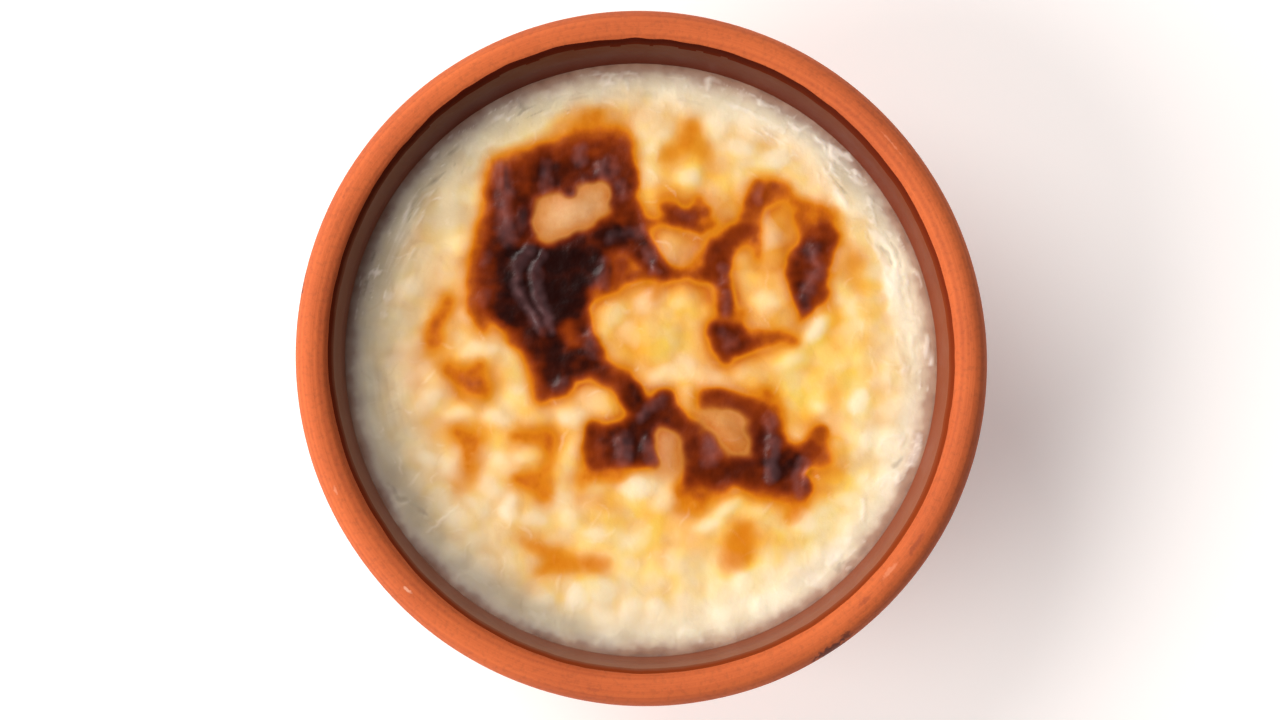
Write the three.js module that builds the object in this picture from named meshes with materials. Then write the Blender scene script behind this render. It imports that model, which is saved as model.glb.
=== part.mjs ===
// Oven-baked rice pudding in the small terracotta bowl it was baked in.
// Millimetres, +Z up. The origin is on the table, under the middle of the bowl.

import * as THREE from 'three';
import { mergeVertices } from 'three/addons/utils/BufferGeometryUtils.js';

// The bowl: a hand-thrown clay dish that widens from a flat foot to a thick round rim.
const BOWL_HEIGHT = 52;
const RIM_RADIUS = 60;
const RIM_WIDTH = 5.5;
const RIM_TOP_SETBACK = 2.8;
const RIM_OUTER_DROP = 3.3;
const RIM_INNER_DROP = 1.5;
const FOOT_RADIUS = 39;
const FOOT_ROUNDING = 2;
const FLOOR_THICKNESS = 5.5;
const FLOOR_RADIUS = 20;
const SHOULDER_THICKNESS = 7.6;

// How far the wall's curves lean out and reach up, as shares of the rim's radius and the height.
const BELLY_OUT = 0.78;
const BELLY_UP = 0.24;
const SHOULDER_OUT = 0.93;
const SHOULDER_UP = 0.52;
const INNER_SHOULDER_UP = 0.65;
const INNER_BELLY_OUT = 0.76;
const INNER_BELLY_UP = 0.145;
const FOOT_FLARE = 0.6;

// The clay moved a little in the kiln: the circle is wider along one direction.
const OVALITY = 0.0074;
const OVAL_AZIMUTH = THREE.MathUtils.degToRad(-59.2);

// The pudding: it fills the bowl to its skin, which sags a little and holds rice lumps.
const SKIN_LEVEL = 42;
const SKIN_SAG = 0.5;
const MENISCUS_HEIGHT = 0.7;
const MENISCUS_WIDTH = 2.5;
const FIT_GAP = 0.3;

// One cooked grain, as a lump under the skin.
const GRAIN_COUNT = 170;
const GRAIN_LENGTH = 8;
const GRAIN_WIDTH = 4.2;
const GRAIN_RISE = 1.0;
const LOWEST_GRAIN = 0.25;
const GRAIN_SEED = 7;

// How finely the solids are faceted.
const TURN_STEPS = 90;
const WALL_STEPS = 8;
const RIM_STEPS = 4;
const SKIN_RINGS = 21;
const HALVINGS = 30;

const CLAY = new THREE.MeshStandardMaterial({ color: '#d06c42', roughness: 0.85, metalness: 0 });
const MILK_AND_RICE = new THREE.MeshStandardMaterial({ color: '#e3c090', roughness: 0.4, metalness: 0 });

const RIM_OUTER_HEIGHT = BOWL_HEIGHT - RIM_OUTER_DROP;
const MOUTH_HEIGHT = BOWL_HEIGHT - RIM_INNER_DROP;
const MOUTH_RADIUS = RIM_RADIUS - RIM_WIDTH;

// The outside of the wall swells out from the foot to the rim.
function outerWall() {
  return new THREE.CubicBezierCurve(
    new THREE.Vector2(FOOT_RADIUS + FOOT_ROUNDING * FOOT_FLARE, FOOT_ROUNDING),
    new THREE.Vector2(RIM_RADIUS * BELLY_OUT, BOWL_HEIGHT * BELLY_UP),
    new THREE.Vector2(RIM_RADIUS * SHOULDER_OUT, BOWL_HEIGHT * SHOULDER_UP),
    new THREE.Vector2(RIM_RADIUS, RIM_OUTER_HEIGHT),
  );
}

// The inside runs along it, one wall thickness in, and turns into the floor.
function innerWall() {
  return new THREE.CubicBezierCurve(
    new THREE.Vector2(MOUTH_RADIUS, MOUTH_HEIGHT),
    new THREE.Vector2(RIM_RADIUS * SHOULDER_OUT - SHOULDER_THICKNESS, BOWL_HEIGHT * INNER_SHOULDER_UP),
    new THREE.Vector2(RIM_RADIUS * INNER_BELLY_OUT, BOWL_HEIGHT * INNER_BELLY_UP),
    new THREE.Vector2(FLOOR_RADIUS, FLOOR_THICKNESS),
  );
}

// The rim is rounded by two quarter arcs of an ellipse: a full outer one and a tighter inner one.
function rimArc(widthOut, drop, middleHeight, startAngle, endAngle) {
  const middleRadius = RIM_RADIUS - RIM_TOP_SETBACK;
  return new THREE.EllipseCurve(middleRadius, middleHeight, widthOut, drop, startAngle, endAngle, false);
}

// Points of a profile, without the last point of each stretch, which starts the next one.
function joinStretches(stretches, end) {
  const points = stretches.flatMap(([curve, steps]) => curve.getPoints(steps).slice(0, -1));
  return [...points, end];
}

function bowlProfile() {
  const foot = new THREE.LineCurve(new THREE.Vector2(0, 0), new THREE.Vector2(FOOT_RADIUS, 0));
  const footEdge = new THREE.LineCurve(foot.v2, outerWall().v0);
  const rimOut = rimArc(RIM_TOP_SETBACK, RIM_OUTER_DROP, RIM_OUTER_HEIGHT, 0, Math.PI / 2);
  const rimIn = rimArc(RIM_WIDTH - RIM_TOP_SETBACK, RIM_INNER_DROP, MOUTH_HEIGHT, Math.PI / 2, Math.PI);
  const stretches = [
    [foot, 1],
    [footEdge, 1],
    [outerWall(), WALL_STEPS],
    [rimOut, RIM_STEPS],
    [rimIn, RIM_STEPS],
    [innerWall(), WALL_STEPS],
    [new THREE.LineCurve(innerWall().v3, new THREE.Vector2(0, FLOOR_THICKNESS)), 1],
  ];
  return joinStretches(stretches, new THREE.Vector2(0, FLOOR_THICKNESS));
}

// A closed body of revolution about +Z, squeezed by the kiln's ovality.
function turned(profile) {
  const lathe = new THREE.LatheGeometry(profile, TURN_STEPS);
  lathe.deleteAttribute('normal');
  lathe.deleteAttribute('uv');
  lathe.rotateX(Math.PI / 2);
  const geometry = mergeVertices(lathe);
  const squeeze = new THREE.Matrix4().makeRotationZ(OVAL_AZIMUTH);
  squeeze.multiply(new THREE.Matrix4().makeScale(1 + OVALITY, 1 - OVALITY, 1));
  squeeze.multiply(new THREE.Matrix4().makeRotationZ(-OVAL_AZIMUTH));
  geometry.applyMatrix4(squeeze);
  geometry.computeVertexNormals();
  return geometry;
}

// Where the inner wall is at a height, found on its curve by halving.
function innerWallAt(height) {
  const curve = innerWall();
  let above = 0;
  let below = 1;
  for (let step = 0; step < HALVINGS; step += 1) {
    const middle = (above + below) / 2;
    if (curve.getPoint(middle).y > height) above = middle;
    else below = middle;
  }
  return { turn: above, radius: curve.getPoint(above).x };
}

const SKIN_EDGE = innerWallAt(SKIN_LEVEL + MENISCUS_HEIGHT);
const SKIN_RADIUS = SKIN_EDGE.radius - FIT_GAP;

// Grains lie anywhere under the skin, each turned its own way and raised by its own amount.
// The draws always come out the same.
function riceGrains() {
  const draw = (limit) => limit * THREE.MathUtils.seededRandom();
  THREE.MathUtils.seededRandom(GRAIN_SEED);
  return Array.from({ length: GRAIN_COUNT }, () => {
    const reach = (SKIN_RADIUS - GRAIN_WIDTH) * Math.sqrt(draw(1));
    const bearing = draw(2 * Math.PI);
    const turn = draw(Math.PI);
    const rise = GRAIN_RISE * (LOWEST_GRAIN + draw(1 - LOWEST_GRAIN));
    return { x: reach * Math.cos(bearing), y: reach * Math.sin(bearing), turn, rise };
  });
}

// A soft lump: highest over the grain's middle, gone at about its outline.
function grainLump(grain, x, y) {
  const along = (x - grain.x) * Math.cos(grain.turn) + (y - grain.y) * Math.sin(grain.turn);
  const across = (y - grain.y) * Math.cos(grain.turn) - (x - grain.x) * Math.sin(grain.turn);
  const distance = Math.hypot(along / (GRAIN_LENGTH / 2), across / (GRAIN_WIDTH / 2));
  return grain.rise * Math.exp(-distance * distance);
}

// The skin sags towards the middle, climbs the wall in a thin meniscus and rises over each grain.
function skinHeight(x, y, grains) {
  const radius = Math.hypot(x, y);
  const sag = SKIN_SAG * (1 - (radius / SKIN_RADIUS) ** 2);
  const meniscus = MENISCUS_HEIGHT * Math.exp((radius - SKIN_RADIUS) / MENISCUS_WIDTH);
  const lump = Math.max(...grains.map((grain) => grainLump(grain, x, y)));
  const fade = Math.min(1, (SKIN_RADIUS - radius) / GRAIN_WIDTH);
  return SKIN_LEVEL - sag + meniscus + lump * fade;
}

function puddingGeometry() {
  const wall = innerWall();
  const floor = FLOOR_THICKNESS + FIT_GAP;
  const side = Array.from({ length: WALL_STEPS }, (_, step) => {
    const point = wall.getPoint(1 - (1 - SKIN_EDGE.turn) * (step / WALL_STEPS));
    return new THREE.Vector2(point.x - FIT_GAP, Math.max(point.y + FIT_GAP, floor));
  });
  const skin = Array.from({ length: SKIN_RINGS }, (_, ring) => {
    const radius = SKIN_RADIUS * (1 - ring / SKIN_RINGS);
    return new THREE.Vector2(radius, SKIN_LEVEL + MENISCUS_HEIGHT);
  });
  const middle = new THREE.Vector2(0, SKIN_LEVEL + MENISCUS_HEIGHT);
  const geometry = turned([new THREE.Vector2(0, floor), ...side, ...skin, middle]);
  const grains = riceGrains();
  const place = geometry.attributes.position;
  for (let vertex = 0; vertex < place.count; vertex += 1) {
    const isSkin = place.getZ(vertex) > SKIN_LEVEL;
    if (isSkin) place.setZ(vertex, skinHeight(place.getX(vertex), place.getY(vertex), grains));
  }
  geometry.computeVertexNormals();
  return geometry;
}

function namedMesh(name, geometry, material) {
  const mesh = new THREE.Mesh(geometry, material);
  mesh.name = name;
  return mesh;
}

const dessert = new THREE.Group();
dessert.add(namedMesh('bowl', turned(bowlProfile()), CLAY));
dessert.add(namedMesh('pudding', puddingGeometry(), MILK_AND_RICE));

export default dessert;
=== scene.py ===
# Oven-baked rice pudding in its small terracotta bowl: clay, glaze, and a scorched milk skin over rice.
# Metres, +Z up, the origin on the table under the middle of the bowl. The skin is laid out in millimetres.

import math
import bmesh
import bpy
import numpy as np
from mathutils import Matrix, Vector
from mathutils.bvhtree import BVHTree


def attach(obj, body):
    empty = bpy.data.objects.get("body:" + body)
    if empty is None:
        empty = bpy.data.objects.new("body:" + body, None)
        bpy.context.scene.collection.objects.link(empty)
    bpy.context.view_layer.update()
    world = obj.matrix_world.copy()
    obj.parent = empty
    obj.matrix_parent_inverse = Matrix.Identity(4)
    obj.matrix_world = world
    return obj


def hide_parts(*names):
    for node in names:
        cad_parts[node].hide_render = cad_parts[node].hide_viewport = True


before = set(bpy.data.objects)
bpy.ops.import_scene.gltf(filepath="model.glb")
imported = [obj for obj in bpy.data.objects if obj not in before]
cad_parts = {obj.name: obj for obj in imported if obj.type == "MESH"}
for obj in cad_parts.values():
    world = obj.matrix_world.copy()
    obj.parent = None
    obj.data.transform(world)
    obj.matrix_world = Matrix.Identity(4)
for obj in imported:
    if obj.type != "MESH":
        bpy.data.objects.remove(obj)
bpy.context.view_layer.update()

MM = 0.001

# ---------------------------------------------------- the bowl's and the pudding's own sizes (mm)

BOWL_HEIGHT = 52.0
RIM_RADIUS = 60.0
RIM_WIDTH = 5.5
RIM_TOP_SETBACK = 2.8
RIM_OUTER_DROP = 3.3
RIM_INNER_DROP = 1.5
FOOT_RADIUS = 39.0
FOOT_ROUNDING = 2.0
FOOT_FLARE = 0.6
FLOOR_THICKNESS = 5.5
FLOOR_RADIUS = 20.0
SHOULDER_THICKNESS = 7.6

# How far the wall's curves lean out and reach up, as shares of the rim's radius and the height.
BELLY = (0.78, 0.24)
SHOULDER = (0.93, 0.52)
INNER_SHOULDER_UP = 0.65
INNER_BELLY = (0.76, 0.145)

# The clay moved a little in the kiln: the circle is wider along one direction.
OVALITY = 0.0074
OVAL_AZIMUTH = math.radians(-59.2)
MOUTH_RADIUS = RIM_RADIUS - RIM_WIDTH
MOUTH_HEIGHT = BOWL_HEIGHT - RIM_INNER_DROP

SKIN_LEVEL = 42.0
SKIN_SAG = 0.5
SKIN_RADIUS = 51.75
MENISCUS_HEIGHT = 0.7
MENISCUS_WIDTH = 2.5
FIT_GAP = 0.3
GLAZE_THICKNESS = 0.2
GLAZE_ROOT = 0.15
SOAKED_LIP = 0.8
BOND = 0.02

SEED = 11
HAIRLINES = 640

# ---------------------------------------------------- small helpers

NOISE_TABLE = 256
NOISE_SHIFT = (101.3, 67.9)
FAR_OUTSIDE = -1e9


def linear(hex_colour):
    """An sRGB hex colour as linear RGBA."""
    channels = [int(hex_colour[i:i + 2], 16) / 255 for i in (0, 2, 4)]
    return [c / 12.92 if c <= 0.04045 else ((c + 0.055) / 1.055) ** 2.4 for c in channels] + [1.0]


def add(tree, kind, links=None, stops=(), **settings):
    """A node with its settings, its sockets' values or links, and a ramp's stops (both ends come first)."""
    node = tree.nodes.new(kind)
    for name, value in settings.items():
        setattr(node, name, value)
    for socket, value in (links or {}).items():
        if isinstance(value, bpy.types.NodeSocket):
            tree.links.new(value, node.inputs[socket])
        else:
            node.inputs[socket].default_value = value
    for index, (place, colour) in enumerate(stops):
        elements = node.color_ramp.elements
        stop = elements[index] if index < 2 else elements.new(place)
        stop.position = place
        stop.color = linear(colour) if isinstance(colour, str) else (colour, colour, colour, 1)
    return node


def shown(name, data):
    """An object at the origin, linked to the scene."""
    piece = bpy.data.objects.new(name, data)
    bpy.context.scene.collection.objects.link(piece)
    return piece


def smooth(low, high, value):
    """A soft step from 0 at low to 1 at high."""
    t = np.clip((value - low) / (high - low), 0, 1)
    return t * t * (3 - 2 * t)


def noise(x, y, size, seed, octaves=1):
    """Soft value noise between -1 and 1, with lumps of about size millimetres."""
    pick = np.random.default_rng(seed)
    out = np.zeros_like(x)
    share, total = 1.0, 0.0
    for octave in range(octaves):
        table = pick.uniform(-1, 1, (NOISE_TABLE, NOISE_TABLE))
        u = x * 2 ** octave / size + NOISE_SHIFT[0]
        v = y * 2 ** octave / size + NOISE_SHIFT[1]
        i, j = np.floor(u).astype(int), np.floor(v).astype(int)
        f, g = u - i, v - j
        f = f * f * f * (f * (f * 6 - 15) + 10)
        g = g * g * g * (g * (g * 6 - 15) + 10)
        i0, j0, i1, j1 = (index % NOISE_TABLE for index in (i, j, i + 1, j + 1))
        near = table[i0, j0] * (1 - f) + table[i1, j0] * f
        far = table[i0, j1] * (1 - f) + table[i1, j1] * f
        out += share * (near * (1 - g) + far * g)
        total += share
        share /= 2
    return out / total


def stroke_depth(x, y, points):
    """How far inside a stroke of changing width each place is, in mm; negative outside."""
    if len(points) == 1:
        px, py, radius = points[0]
        return radius - np.hypot(x - px, y - py)
    best = np.full(x.shape, FAR_OUTSIDE)
    for (ax, ay, ar), (bx, by, br) in zip(points, points[1:]):
        dx, dy = bx - ax, by - ay
        t = np.clip(((x - ax) * dx + (y - ay) * dy) / (dx * dx + dy * dy), 0, 1)
        best = np.maximum(best, ar + (br - ar) * t - np.hypot(x - ax - dx * t, y - ay - dy * t))
    return best


def blurred(field, width):
    """The field spread by a Gaussian of that width (mm), as far as three widths."""
    reach = max(1, int(math.ceil(3 * width / CELL)))
    steps = np.arange(-reach, reach + 1) * CELL
    weights = np.exp(-0.5 * (steps / width) ** 2)
    weights /= weights.sum()
    out = field
    for axis in (0, 1):
        padded = np.pad(out, [(reach, reach) if a == axis else (0, 0) for a in (0, 1)], mode="edge")
        size = field.shape[axis]
        out = np.zeros_like(field)
        for k, weight in enumerate(weights):
            out += weight * (padded[k:k + size] if axis == 0 else padded[:, k:k + size])
    return out


# ---------------------------------------------------- what the oven did to the skin (mm, from the middle)

# Each stroke: how deep the scorch is (0 none, 1 black), how soft its edge is, and points (x, y, half width).
SCORCHED = (
    # the large patch: left side, top, right side
    (0.76, 1.8, ((-23.9, 32.0, 1.8), (-24.2, 27, 2.1), (-24.5, 21, 2.7), (-24.9, 14, 3.1),
        (-24.4, 9.3, 3.0))),
    (0.66, 1.8, ((-23.9, 33.0, 1.2), (-19.5, 33.9, 2.0), (-14, 35.6, 2.0), (-8.5, 36.8, 2.0),
        (-4.5, 36.8, 2.2))),
    (0.72, 1.5, ((-4, 35.5, 2.7), (-2.9, 32, 2.5), (-3.3, 28.5, 2.0), (-2.2, 25.5, 2.6), (-1.3, 22, 2.9))),
    (0.80, 1.2, ((-1.6, 21.5, 2.6), (0, 19.5, 2.2), (1.6, 17.2, 1.6))),
    (0.70, 1.2, ((1.2, 18, 2.0), (2.4, 16.4, 1.7), (4.4, 14.8, 1.2))),
    (0.77, 1.3, ((-21, 30.5, 3.4), (-20.4, 26.5, 2.2), (-20.8, 22, 2.4))),
    (0.78, 1.2, ((-18.3, 31.2, 3.1), (-14.2, 32, 2.6), (-11, 33, 2.3), (-6, 33.2, 2.0))),
    (0.80, 1.0, ((-13.2, 31.0, 1.8), (-12.4, 29.4, 1.2))),
    (0.74, 1.0, ((-6.6, 22.6, 1.6), (-4.0, 24.4, 1.4))),
    # its black middle and the limb that leads down
    (0.97, 1.8, ((-22.0, 16, 4.2), (-16, 14, 5.6), (-12, 15.5, 4.8), (-9.3, 16.3, 3.2))),
    (1.00, 2.0, ((-15.5, 16.5, 2.8), (-12.8, 15.6, 2.6))),
    (0.88, 1.2, ((-13, 18.7, 2.4), (-8, 20, 2.5), (-5, 21.4, 2.7), (-2.6, 21.8, 2.0))),
    (0.95, 1.5, ((-22, 9.3, 4.4), (-17, 8.3, 4.6), (-14, 9.6, 3.6), (-11.3, 10.8, 2.4))),
    (0.86, 1.4, ((-18.6, 6, 3.6), (-16.3, 2, 3.3), (-14.6, -1.6, 3.3), (-15.6, -4.2, 2.2))),
    (0.76, 1.2, ((-10.8, 8, 1.2), (-10, 4.3, 1.8), (-9, 1.2, 2.3), (-8.6, -1, 2.3))),
    (0.86, 1.2, ((-13, -0.8, 3.2), (-9.4, -0.8, 2.4))),
    (0.76, 1.2, ((-9, -1, 2.4), (-6.7, -2.3, 1.7))),
    (0.53, 1.2, ((-13.0, 6.2, 1.8), (-13.2, 2.4, 1.8))),
    (0.76, 1.2, ((-17, -5.6, 1.1), (-13.4, -4.4, 1.8))),
    (0.56, 1.4, ((-6.2, 14.6, 1.0), (-2, 14.6, 1.0), (3, 14.6, 1.1))),
    (0.66, 1.2, ((-6.4, 13, 1.3), (-6.2, 17.5, 1.1))),
    (0.56, 1.2, ((-3.4, 16.9, 1.6),)),
    # the chain that runs down to the right
    (0.62, 1.3, ((-6.3, -2.9, 1.6), (-3, -3.6, 1.8))),
    (0.78, 1.2, ((-2.4, -5.3, 1.7), (-0.8, -7.6, 2.0), (1.2, -9.2, 2.2), (3.2, -9.2, 2.3))),
    (0.80, 1.2, ((3.6, -7.2, 1.8), (4.3, -6.5, 1.3))),
    (0.70, 1.2, ((4.6, -9.6, 2.0), (6.6, -11.2, 1.6), (8.2, -12.2, 1.5))),
    # the square patch below it
    (0.64, 1.6, ((-7.6, -13.2, 2.0), (-7.9, -17.2, 2.3))),
    (0.74, 1.3, ((-4.6, -13.6, 2.3), (-4.6, -16.6, 2.2))),
    (0.82, 1.2, ((-0.9, -11.6, 2.0), (-1, -14, 2.5), (-1, -16.6, 2.1))),
    (0.72, 1.2, ((1.6, -11.3, 1.5), (0.9, -14, 1.5), (1.1, -16.6, 1.5), (2.1, -17.8, 1.0))),
    # the round patch at the lower right, a ring round a grain
    (0.68, 1.3, ((8.6, -13.2, 1.5), (8.8, -16, 2.0), (9.3, -20, 2.3))),
    (0.66, 1.3, ((11.4, -15.9, 2.0), (12.6, -18.3, 2.4))),
    (0.70, 1.5, ((11, -20.2, 2.0), (15, -19.3, 2.4), (19, -19.6, 2.6), (22.5, -19.8, 3.0))),
    (0.60, 1.5, ((11.3, -6.9, 1.3), (15, -6.9, 1.5), (18, -8, 1.9), (21.4, -9.6, 2.1), (23.3, -11.6, 1.8))),
    (0.74, 1.3, ((20.6, -12, 2.0), (22.3, -14.3, 2.8), (21.5, -17.5, 2.4))),
    (0.92, 1.3, ((24.0, -18.6, 2.6), (26, -17.6, 2.4))),
    (0.70, 1.2, ((27.6, -16.6, 2.0), (30.0, -15.8, 1.8))),
    (0.48, 1.2, ((30.4, -14.5, 2.0), (31.2, -12.4, 1.4))),
    (0.46, 1.2, ((31.3, -17.2, 1.8),)),
    (0.70, 1.4, ((26, -21.3, 2.2), (27.9, -21.9, 1.8))),
    (0.52, 1.4, ((27.8, -24, 1.0),)),
    (0.56, 1.2, ((10.2, -12.6, 1.3), (12.2, -13.7, 0.9))),
    (0.46, 1.3, ((10.6, -8.3, 1.0),)),
    # the diagonal band, its thread and the drop at its end
    (0.56, 1.5, ((19.4, 22.8, 1.7), (17.6, 22.2, 1.8))),
    (0.66, 1.3, ((16.8, 21.9, 1.8), (14.3, 18.8, 2.1), (13.2, 15.9, 2.3))),
    (0.66, 1.3, ((13, 15.1, 1.6), (10.3, 14.8, 1.1))),
    (0.64, 1.2, ((14.6, 13.5, 1.4), (14.9, 11, 1.2), (14.9, 8.3, 1.4))),
    (0.74, 1.4, ((13.4, 4.8, 1.8), (15.2, 3.5, 2.8), (17.0, 2.8, 2.2))),
    (0.60, 1.4, ((17.4, 2.7, 2.2), (19.6, 2.9, 1.4))),
    (0.56, 1.4, ((15, 0.3, 1.1),)),
    # the upright patch at the right
    (0.58, 1.5, ((29.7, 22.2, 1.8), (32, 22.4, 2.2), (33.8, 21.9, 1.4))),
    (0.70, 1.3, ((29.8, 20.4, 2.0), (31.5, 20, 2.2))),
    (0.82, 1.3, ((28.5, 18.5, 1.8), (28.1, 15.5, 2.1), (28.5, 12, 1.9), (28.7, 9.4, 1.1))),
    (0.66, 1.3, ((31, 18, 2.2), (30.3, 14, 2.4), (31, 11.6, 1.9))),
    (0.60, 1.2, ((33.2, 21.4, 1.3), (32.4, 17.5, 1.3), (31.8, 13.4, 1.1), (31.8, 11.6, 1.0))),
    # the hook above the diagonal band
    (0.50, 1.4, ((19.4, 28.4, 1.0), (20, 27, 1.7), (20.2, 25.4, 1.3))),
    (0.46, 1.5, ((21.0, 30.6, 1.0), (23.0, 29.9, 1.5), (24.6, 29.6, 1.8))),
    (0.58, 1.2, ((5.2, 26, 1.0), (7, 25.3, 1.6), (9, 25.0, 1.4), (11.2, 26.0, 0.8))),
)

# The same for the skin that only browned round it.
BROWNED = (
    (0.27, 2.0, ((-11.0, 40.0, 1.8), (-9.2, 41.6, 1.8), (-7.2, 42.6, 1.4))),
    (0.10, 2.4, ((-15, 39.8, 1.2), (-11, 42.6, 1.4), (-5.4, 43.0, 1.6), (-3.6, 40.6, 1.2))),
    (0.42, 1.2, ((-25.2, 34.1, 0.9), (-18, 35.7, 1.3), (-13, 37.5, 1.4), (-8, 39.0, 1.6),
        (-3.2, 39.2, 1.4), (-1.4, 37, 1.0))),
    (0.46, 1.3, ((-26.3, 31.8, 0.9), (-26.5, 25, 1.2), (-27.8, 20, 1.5), (-28.8, 14, 1.7),
        (-28.6, 9, 1.8), (-27.4, 5.6, 1.5))),
    (0.48, 1.4, ((-23.2, 5.0, 0.8), (-20.0, 1.2, 0.9), (-18.8, -3, 0.7), (-18.0, -7, 0.7))),
    (0.50, 1.0, ((-8.6, 10.4, 0.6), (-6.4, 12.0, 0.8), (-3.0, 13.0, 0.6))),
    (0.56, 1.2, ((0.5, 23.8, 0.7), (4, 23.6, 0.6), (6.5, 24.3, 0.8))),
    (0.46, 1.2, ((8, 23.8, 1.0), (10.8, 23.0, 1.1), (13.2, 23.6, 0.7))),
    (0.46, 1.2, ((4.2, 27.2, 1.0), (6.0, 27.4, 0.8))),
    (0.42, 1.2, ((10.6, 27.4, 0.9), (12.0, 26.2, 0.7))),
    (0.28, 2.0, ((8.4, 38.2, 2.0), (8.8, 40.2, 1.4))),
    (0.23, 1.6, ((3.8, 34.9, 0.8), (5.4, 35.8, 1.4), (7, 36.6, 1.1))),
    (0.19, 1.7, ((9.8, 37.0, 1.1), (12.0, 36.4, 1.1), (12.4, 34, 0.7))),
    (0.58, 1.2, ((4.8, 14.6, 1.0), (9.4, 14.9, 0.9))),
    (0.36, 1.4, ((3.0, 12.6, 0.8), (2.6, 10.8, 0.5))),
    (0.34, 1.6, ((8.6, 16.2, 1.0), (11.0, 18.4, 0.9), (13.4, 20.8, 0.9))),
    (0.40, 1.4, ((19.6, 21.4, 1.3), (20.7, 19, 0.9), (20.9, 17.2, 0.6))),
    (0.36, 1.3, ((13.6, 12, 0.8), (13.6, 9.5, 0.7))),
    (0.44, 1.5, ((20, 3.4, 1.5), (24, 3.8, 1.2), (27, 3.4, 0.8))),
    (0.34, 1.4, ((17.8, 7.6, 1.0), (16.5, 6.5, 1.0))),
    (0.46, 1.5, ((20.5, 30.3, 1.3), (22.5, 28.3, 1.3))),
    (0.44, 1.5, ((19, 25, 1.1), (19.3, 23.7, 1.1))),
    (0.36, 1.5, ((26.5, 29.3, 0.8), (26.6, 27.2, 0.9))),
    (0.40, 1.8, ((28, 27.2, 1.3), (30.5, 26.2, 1.7), (32.8, 25, 1.6))),
    (0.44, 1.6, ((28.5, 24.4, 1.4),)),
    (0.42, 1.4, ((28.5, 8.2, 0.8), (28, 6.4, 0.5))),
    (0.18, 2.0, ((37.6, 17.8, 1.0), (37.2, 15.6, 0.7))),
    (0.34, 1.6, ((-10, -20.7, 1.0), (-5, -20.4, 1.0), (-3, -19.8, 0.9))),
    (0.32, 1.9, ((-10.4, -21.2, 1.2),)),
    (0.38, 1.6, ((21.5, -5.7, 1.1), (23.3, -7, 0.9), (24.6, -10, 0.7))),
    (0.38, 1.8, ((7, -22.8, 1.5), (10, -23.6, 1.4), (14, -22.7, 1.1))),
    (0.28, 2.0, ((7, -25.4, 1.3), (10, -25.8, 1.3), (12, -25, 0.9))),
    (0.40, 1.7, ((20, -22.8, 1.1), (26, -24, 1.1))),
    (0.36, 1.7, ((26.8, -25.8, 1.0), (26, -27.3, 0.8))),
    (0.26, 1.6, ((18.0, -29.8, 1.6), (17.2, -32.0, 2.5), (16.4, -34.2, 2.3))),
    (0.20, 2.0, ((14.6, -35.6, 1.2), (15.0, -37.4, 0.6))),
    (0.26, 1.2, ((-20.2, -31.8, 0.6), (-18.4, -32.8, 1.2), (-15.4, -34.8, 1.9), (-11.6, -35.4, 1.3),
        (-6.2, -35.8, 1.2))),
    (0.25, 1.2, ((-18.4, -37.4, 0.8), (-15.6, -36.4, 1.3), (-11.6, -36.6, 0.8))),
    (0.33, 1.4, ((-22.0, -20.9, 1.1), (-18.5, -21.6, 1.9), (-17, -23.2, 1.5))),
    (0.35, 1.2, ((-22.2, -13.5, 0.9), (-18, -13.7, 1.3), (-16.2, -14, 1.5), (-15.8, -17.4, 0.7))),
    (0.27, 1.4, ((-16.2, -18.5, 0.8), (-17.4, -20.3, 0.9))),
    (0.32, 1.5, ((-32.0, -12.8, 1.2), (-30.2, -14.0, 1.9), (-29.6, -16.4, 1.9))),
    (0.27, 1.5, ((-29.6, -16.4, 1.9), (-30.0, -18.5, 1.6), (-30.6, -21, 1.0))),
    (0.20, 2.0, ((-28, -12.8, 0.9), (-32.4, -22.4, 0.8))),
    (0.40, 2.0, ((-33.8, -2.2, 1.4), (-31.6, -3.3, 2.1), (-29, -4.3, 2.3), (-28.0, -5.2, 1.7))),
    (0.40, 1.8, ((-28.4, -1.8, 1.3),)),
    (0.38, 1.8, ((-33.8, 9.8, 0.8), (-35.2, 7, 1.2), (-36.1, 4.5, 1.8), (-36.6, 2.2, 1.5))),
    (0.54, 1.2, ((-28.0, 12.0, 1.2), (-28.4, 7.6, 1.2))),
    (0.20, 2.0, ((-37.0, 0.8, 1.0), (-35.4, -1.2, 0.8))),
)

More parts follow.
